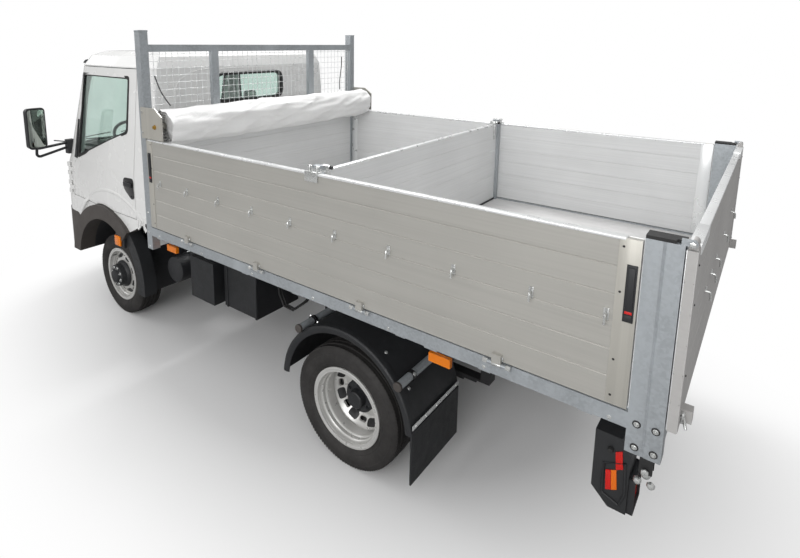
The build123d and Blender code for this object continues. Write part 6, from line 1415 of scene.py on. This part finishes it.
class TRUCK_OT_cab_body(TruckOperator, Operator):
    """Adds the cab's raised contours, window surrounds, aerial and release loop"""
    bl_idname = "truck.cab_body"
    bl_label = "Cab body"

    def build(self, sizes):
        self.contours()
        self.rear_window()
        trims = Shape()
        roof = node_surface("cab_roof")
        spot = drop(roof, (1.955, 0.735, 3.0), (0, 0, -1), (1.955, 0.735, 2.08))
        trims.lathe(spot - Z * 0.002, Z, [(0.0, 0.0), (0.0, 0.034), (0.012, 0.031), (0.026, 0.019), (0.032, 0.0)],
                    steps=24, loop=False)
        trims.piece("roof_aerial", "black", "chassis")
        loop = Shape()
        loop.tube([(0.930, 0.944, 0.945), (0.930, 0.952, 0.900), (0.912, 0.954, 0.882), (0.894, 0.952, 0.900),
                   (0.894, 0.944, 0.945)], 0.0055, 10)
        loop.piece("cab_release_loop", "paint", "chassis")

    def contours(self):
        """Presses a soft arc over each wheel arch, on the doors' skins."""
        for sign, side in SIDES:
            skin = node_surface(f"door_{side}", "cab_rear_pillars")
            rows = []
            for k in range(37):
                angle = math.radians(34 + 104 * k / 36)
                taper = max(0.05, math.sin(math.pi * k / 36) ** 0.6)
                row = []
                for step, lift in ((-0.018, -0.002), (-0.008, 0.0038), (0.0, 0.0062), (0.008, 0.0036), (0.018, -0.002)):
                    reach = 0.672 + step
                    x, z = 1.352 + reach * math.cos(angle), 0.418 + reach * math.sin(angle)
                    spot = drop(skin, (x, sign * 2.0, z), (0, -sign, 0), (x, sign * 0.93, z))
                    row.append(Vector((x, spot.y + sign * lift * taper - sign * 0.0004, z)))
                rows.append(row)
            shape = Shape()
            shape.ribbon(rows)
            shape.piece(f"arch_contour_{side}", "paint", f"door_{side}", crease=60.0)

    def rear_window(self):
        """Adds the rear window's rubber and the pressed line above it."""
        seal = Shape()
        outer = rounded([(-0.362, 1.768), (0.362, 1.768), (0.362, 2.007), (-0.362, 2.007)], 0.088, 9)
        inner = rounded([(-0.338, 1.792), (0.338, 1.792), (0.338, 1.983), (-0.338, 1.983)], 0.070, 9)
        rows = []
        for (y0, z0), (y1, z1) in zip(outer, inner):
            rows.append([Vector((0.742, y0, z0)), Vector((0.734, y0, z0)), Vector((0.734, y1, z1)),
                         Vector((0.752, y1, z1))])
        seal.ribbon(rows, closed=True)
        seal.piece("rear_window_seal", "rubber", "chassis")
        line = Shape()
        path = rounded([(-0.70, 1.55), (-0.70, 1.95), (-0.52, 2.035), (0.52, 2.035), (0.70, 1.95), (0.70, 1.55),
                        (0.66, 1.50), (-0.66, 1.50)], 0.09, 6)
        back = node_surface("cab_back_wall")
        line.tube([drop(back, (0.0, y, z), (1, 0, 0), (0.74, y, z)) + X * 0.0035 for y, z in path], 0.006, 8,
                  closed=True)
        line.piece("back_wall_line", "paint", "chassis", crease=80.0)


class TRUCK_OT_cab_front(TruckOperator, Operator):
    """Adds the windscreen's border, wipers, grille slats, lamp bowls and bumper details"""
    bl_idname = "truck.cab_front"
    bl_label = "Cab front"

    def build(self, sizes):
        skin = node_surface("cab_front_panel")
        border = Shape()
        outer = rounded([(-0.808, 1.312), (0.808, 1.312), (0.742, 2.012), (-0.742, 2.012)], 0.05, 6)
        inner = rounded([(-0.776, 1.345), (0.776, 1.345), (0.712, 1.982), (-0.712, 1.982)], 0.04, 6)
        rows = []
        for (y0, z0), (y1, z1) in zip(self.dense(outer), self.dense(inner)):
            edge = drop(skin, (4.0, y0, z0), (-1, 0, 0), (2.2, y0, z0))
            rows.append([edge - X * 0.004, edge + X * 0.002, Vector((edge.x + 0.002, y1, z1)),
                         Vector((edge.x - 0.012, y1, z1))])
        border.ribbon(rows, closed=True)
        border.piece("windscreen_border", "screen_border", "chassis")
        self.wipers()
        self.face()

    def dense(self, outline, most=0.06):
        """Splits each run longer than four times most into sixteen parts."""
        result = []
        for index, start in enumerate(outline):
            end = outline[(index + 1) % len(outline)]
            count = 16
            length = math.hypot(end[0] - start[0], end[1] - start[1])
            parts = count if length > most * 4 else 1
            result += [(start[0] + (end[0] - start[0]) * k / parts, start[1] + (end[1] - start[1]) * k / parts)
                       for k in range(parts)]
        return result

    def wipers(self):
        """Adds two wipers lying on the glass."""
        glass = node_surface("cab_glass", "cab_front_panel")
        arms = Shape()
        for root, tip in (((0.10, 1.300), (0.66, 1.365)), ((-0.55, 1.300), (0.02, 1.365))):
            points = []
            for k in range(9):
                y = root[0] + (tip[0] - root[0]) * k / 8
                z = root[1] + (tip[1] - root[1]) * k / 8
                spot = drop(glass, (4.0, y, z), (-1, 0, 0), (2.3, y, z))
                points.append(spot + X * (0.020 if k < 7 else 0.014))
            arms.tube(points, 0.006, 8)
            blade = []
            for k in range(9):
                y = tip[0] - 0.26 + 0.52 * k / 8
                z = tip[1] + 0.02 - 0.012 * (k / 8 - 0.5)
                spot = drop(glass, (4.0, y, z), (-1, 0, 0), (2.3, y, z))
                blade.append(spot + X * 0.007)
            arms.tube(blade, 0.005, 6)
        arms.piece("wipers", "black", "chassis")

    def face(self):
        """Adds grille slats, lamp bowls, indicator lenses, the plate's place and the fog lamps."""
        low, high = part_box("grille")
        skin = node_surface("grille")
        points = []
        for z in (0.918, 0.942, 0.966, 0.990):
            for k in range(12):
                y = -0.44 + 0.08 * k
                spot = drop(skin, (4.0, y, z), (-1, 0, 0), (high.x, y, z))
                points.append((Vector((spot.x + 0.0005, y, z)), X, Y))
        grow("grille_slats", "blocks", "chassis", "gloss_black", {"Length": 0.074, "Width": 0.012, "Height": 0.006},
             points)
        lamps = node_surface("headlamps")
        bowls, signals = Shape(), Shape()
        for sign, _ in SIDES:
            for y, radius in ((0.60, 0.062), (0.72, 0.052)):
                spot = drop(lamps, (4.0, sign * y, 0.965), (-1, 0, 0), (2.3, sign * y, 0.965))
                centre = Vector((spot.x - 0.040, sign * y, 0.965))
                bowls.lathe(centre, X, [(0.020, radius), (0.016, radius * 0.96), (-0.004, radius * 0.6),
                                        (-0.008, 0.0)], steps=32, loop=False)
            spot = drop(lamps, (4.0, sign * 0.70, 0.880), (-1, 0, 0), (2.3, sign * 0.70, 0.880))
            signals.box((spot.x - 0.030, sign * 0.560, 0.862), (spot.x - 0.012, sign * 0.760, 0.884), 0.004)
        bowls.piece("lamp_bowls", "chrome", "chassis")
        signals.piece("front_signals", "lens_orange", "chassis")
        bumper = node_surface("bumper")
        dark, plate = Shape(), Shape()
        for sign, _ in SIDES:
            spot = drop(bumper, (4.0, sign * 0.640, 0.560), (-1, 0, 0), (2.5, sign * 0.640, 0.560))
            dark.lathe(spot + X * 0.001, X, [(0.0, 0.0), (0.0, 0.058), (0.006, 0.056), (0.006, 0.046), (0.002, 0.040),
                                             (0.001, 0.0)], steps=32, loop=False)
        for z in (0.480, 0.505, 0.530):
            spot = drop(bumper, (4.0, 0, z), (-1, 0, 0), (2.525, 0, z))
            dark.box((spot.x - 0.045, -0.34, z - 0.008), (spot.x - 0.012, 0.34, z + 0.008), 0.003)
        plate.box((2.5225, -0.26, 0.600), (2.5240, 0.26, 0.712), 0.0006)
        dark.piece("bumper_details", "gloss_black", "chassis")
        plate.piece("blank_plate", "paint", "chassis")


class TRUCK_OT_cabin(TruckOperator, Operator):
    """Pads the seats and fits out the dashboard"""
    bl_idname = "truck.cabin"
    bl_label = "Cabin"

    def build(self, sizes):
        for label, low, high in (("driver", 0.170, 0.690), ("passenger", -0.760, 0.110)):
            cushion = self.pad(f"seat_cushion_{label}", (1.001, low + 0.008, 1.146), (1.469, high - 0.008, 1.278),
                               0.030)
            back = self.pad(f"seat_back_{label}", (0.878, low + 0.008, 1.150), (0.988, high - 0.008, 1.740), 0.035,
                            lean=0.115)
            for piece in (cushion, back):
                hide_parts("seats")
        details = Shape()
        details.box((1.945, 0.25, 1.272), (2.060, 0.60, 1.325), 0.018, steps=3)
        details.box((1.925, -0.16, 1.030), (1.945, 0.14, 1.240), 0.008)
        details.bar((1.88, 0.02, 1.12), (1.80, 0.02, 1.20), 0.010, 12)
        details.bar((1.80, 0.02, 1.20), (1.785, 0.02, 1.235), 0.022, 16, soft=0.006)
        details.piece("dash_details", "trim", "chassis")

    def pad(self, name, low, high, round_by, lean=0.0):
        """Makes a cushion of cloth, blown up a little and kept near its block."""
        part = bmesh.new()
        bmesh.ops.create_cube(part, size=1.0)
        low, high = Vector(low), Vector(high)
        size, middle = high - low, (high + low) / 2
        for vert in part.verts:
            vert.co = Vector(c * s for c, s in zip(vert.co, size)) + middle
        bmesh.ops.bevel(part, geom=part.edges[:], offset=round_by, segments=3, affect="EDGES", profile=0.6)
        bmesh.ops.subdivide_edges(part, edges=[e for e in part.edges if e.calc_length() > 0.06], cuts=9,
                                  use_grid_fill=True)
        data = bpy.data.meshes.new(name)
        part.to_mesh(data)
        part.free()
        piece = bpy.data.objects.new(name, data)
        bpy.context.scene.collection.objects.link(piece)
        self.inflate(piece, 0.012)
        for vert in piece.data.vertices:
            share = (vert.co.z - low.z) / size.z
            seam = math.exp(-((vert.co.y - middle.y) / 0.012) ** 2) * 0.006 if size.y > 0.6 else 0.0
            vert.co.x -= lean * max(0.0, share) if lean else 0.0
            if lean:
                vert.co.x -= seam
            elif vert.co.z > middle.z:
                vert.co.z -= seam
        data = piece.data.copy()
        bpy.data.objects.remove(piece)
        return settle(name, data, "seat", "chassis", 60.0)

    def inflate(self, piece, cap):
        """Runs a short cloth simulation with pressure, and keeps each point within a cap of its place."""
        remesh = piece.modifiers.new("voxels", "REMESH")
        remesh.mode, remesh.voxel_size = "VOXEL", 0.012
        graph = bpy.context.evaluated_depsgraph_get()
        piece.data = bpy.data.meshes.new_from_object(piece.evaluated_get(graph))
        piece.modifiers.clear()
        start = [v.co.copy() for v in piece.data.vertices]
        cloth = piece.modifiers.new("cloth", "CLOTH")
        cloth.settings.use_pressure = True
        cloth.settings.uniform_pressure_force = 4.0
        cloth.settings.effector_weights.gravity = 0.0
        cloth.settings.quality = 4
        scene = bpy.context.scene
        for step in range(1, 13):
            scene.frame_set(step)
        graph = bpy.context.evaluated_depsgraph_get()
        shaped = bpy.data.meshes.new_from_object(piece.evaluated_get(graph))
        piece.modifiers.clear()
        scene.frame_set(1)
        for vert, rest in zip(shaped.vertices, start):
            move = vert.co - rest
            if move.length > cap:
                vert.co = rest + move * (cap / move.length)
        piece.data = shaped


class TRUCK_PT_panel(Panel):
    """Lists the steps that dress the truck."""
    bl_idname = "TRUCK_PT_panel"
    bl_label = "Truck"
    bl_space_type = "VIEW_3D"
    bl_region_type = "UI"
    bl_category = "Truck"

    def draw(self, context):
        column = self.layout.column(align=True)
        for step in STEPS:
            column.operator(step.bl_idname)
        for group in (context.scene.truck_sizes, context.scene.truck_colours):
            for name in group.__annotations__:
                self.layout.prop(group, name)


STEPS = (
    TRUCK_OT_finishes, TRUCK_OT_stage, TRUCK_OT_tyres, TRUCK_OT_wheels, TRUCK_OT_side_fittings, TRUCK_OT_corners,
    TRUCK_OT_tailgate, TRUCK_OT_headboard, TRUCK_OT_partition, TRUCK_OT_load_cover, TRUCK_OT_mudguards,
    TRUCK_OT_lamps, TRUCK_OT_underbody, TRUCK_OT_mirrors, TRUCK_OT_doors, TRUCK_OT_cab_body, TRUCK_OT_cab_front,
    TRUCK_OT_cabin,
)
CLASSES = (TruckSizes, TruckColours, *STEPS, TRUCK_PT_panel)


def register():
    """Registers the classes and the two groups of settings."""
    for item in CLASSES:
        bpy.utils.register_class(item)
    bpy.types.Scene.truck_sizes = PointerProperty(type=TruckSizes)
    bpy.types.Scene.truck_colours = PointerProperty(type=TruckColours)


def unregister():
    """Takes them away again."""
    del bpy.types.Scene.truck_sizes
    del bpy.types.Scene.truck_colours
    for item in reversed(CLASSES):
        bpy.utils.unregister_class(item)


def main():
    """Runs every step in order."""
    register()
    for step in STEPS:
        group, name = step.bl_idname.split(".")
        getattr(getattr(bpy.ops, group), name)()


if __name__ == "__main__":
    main()
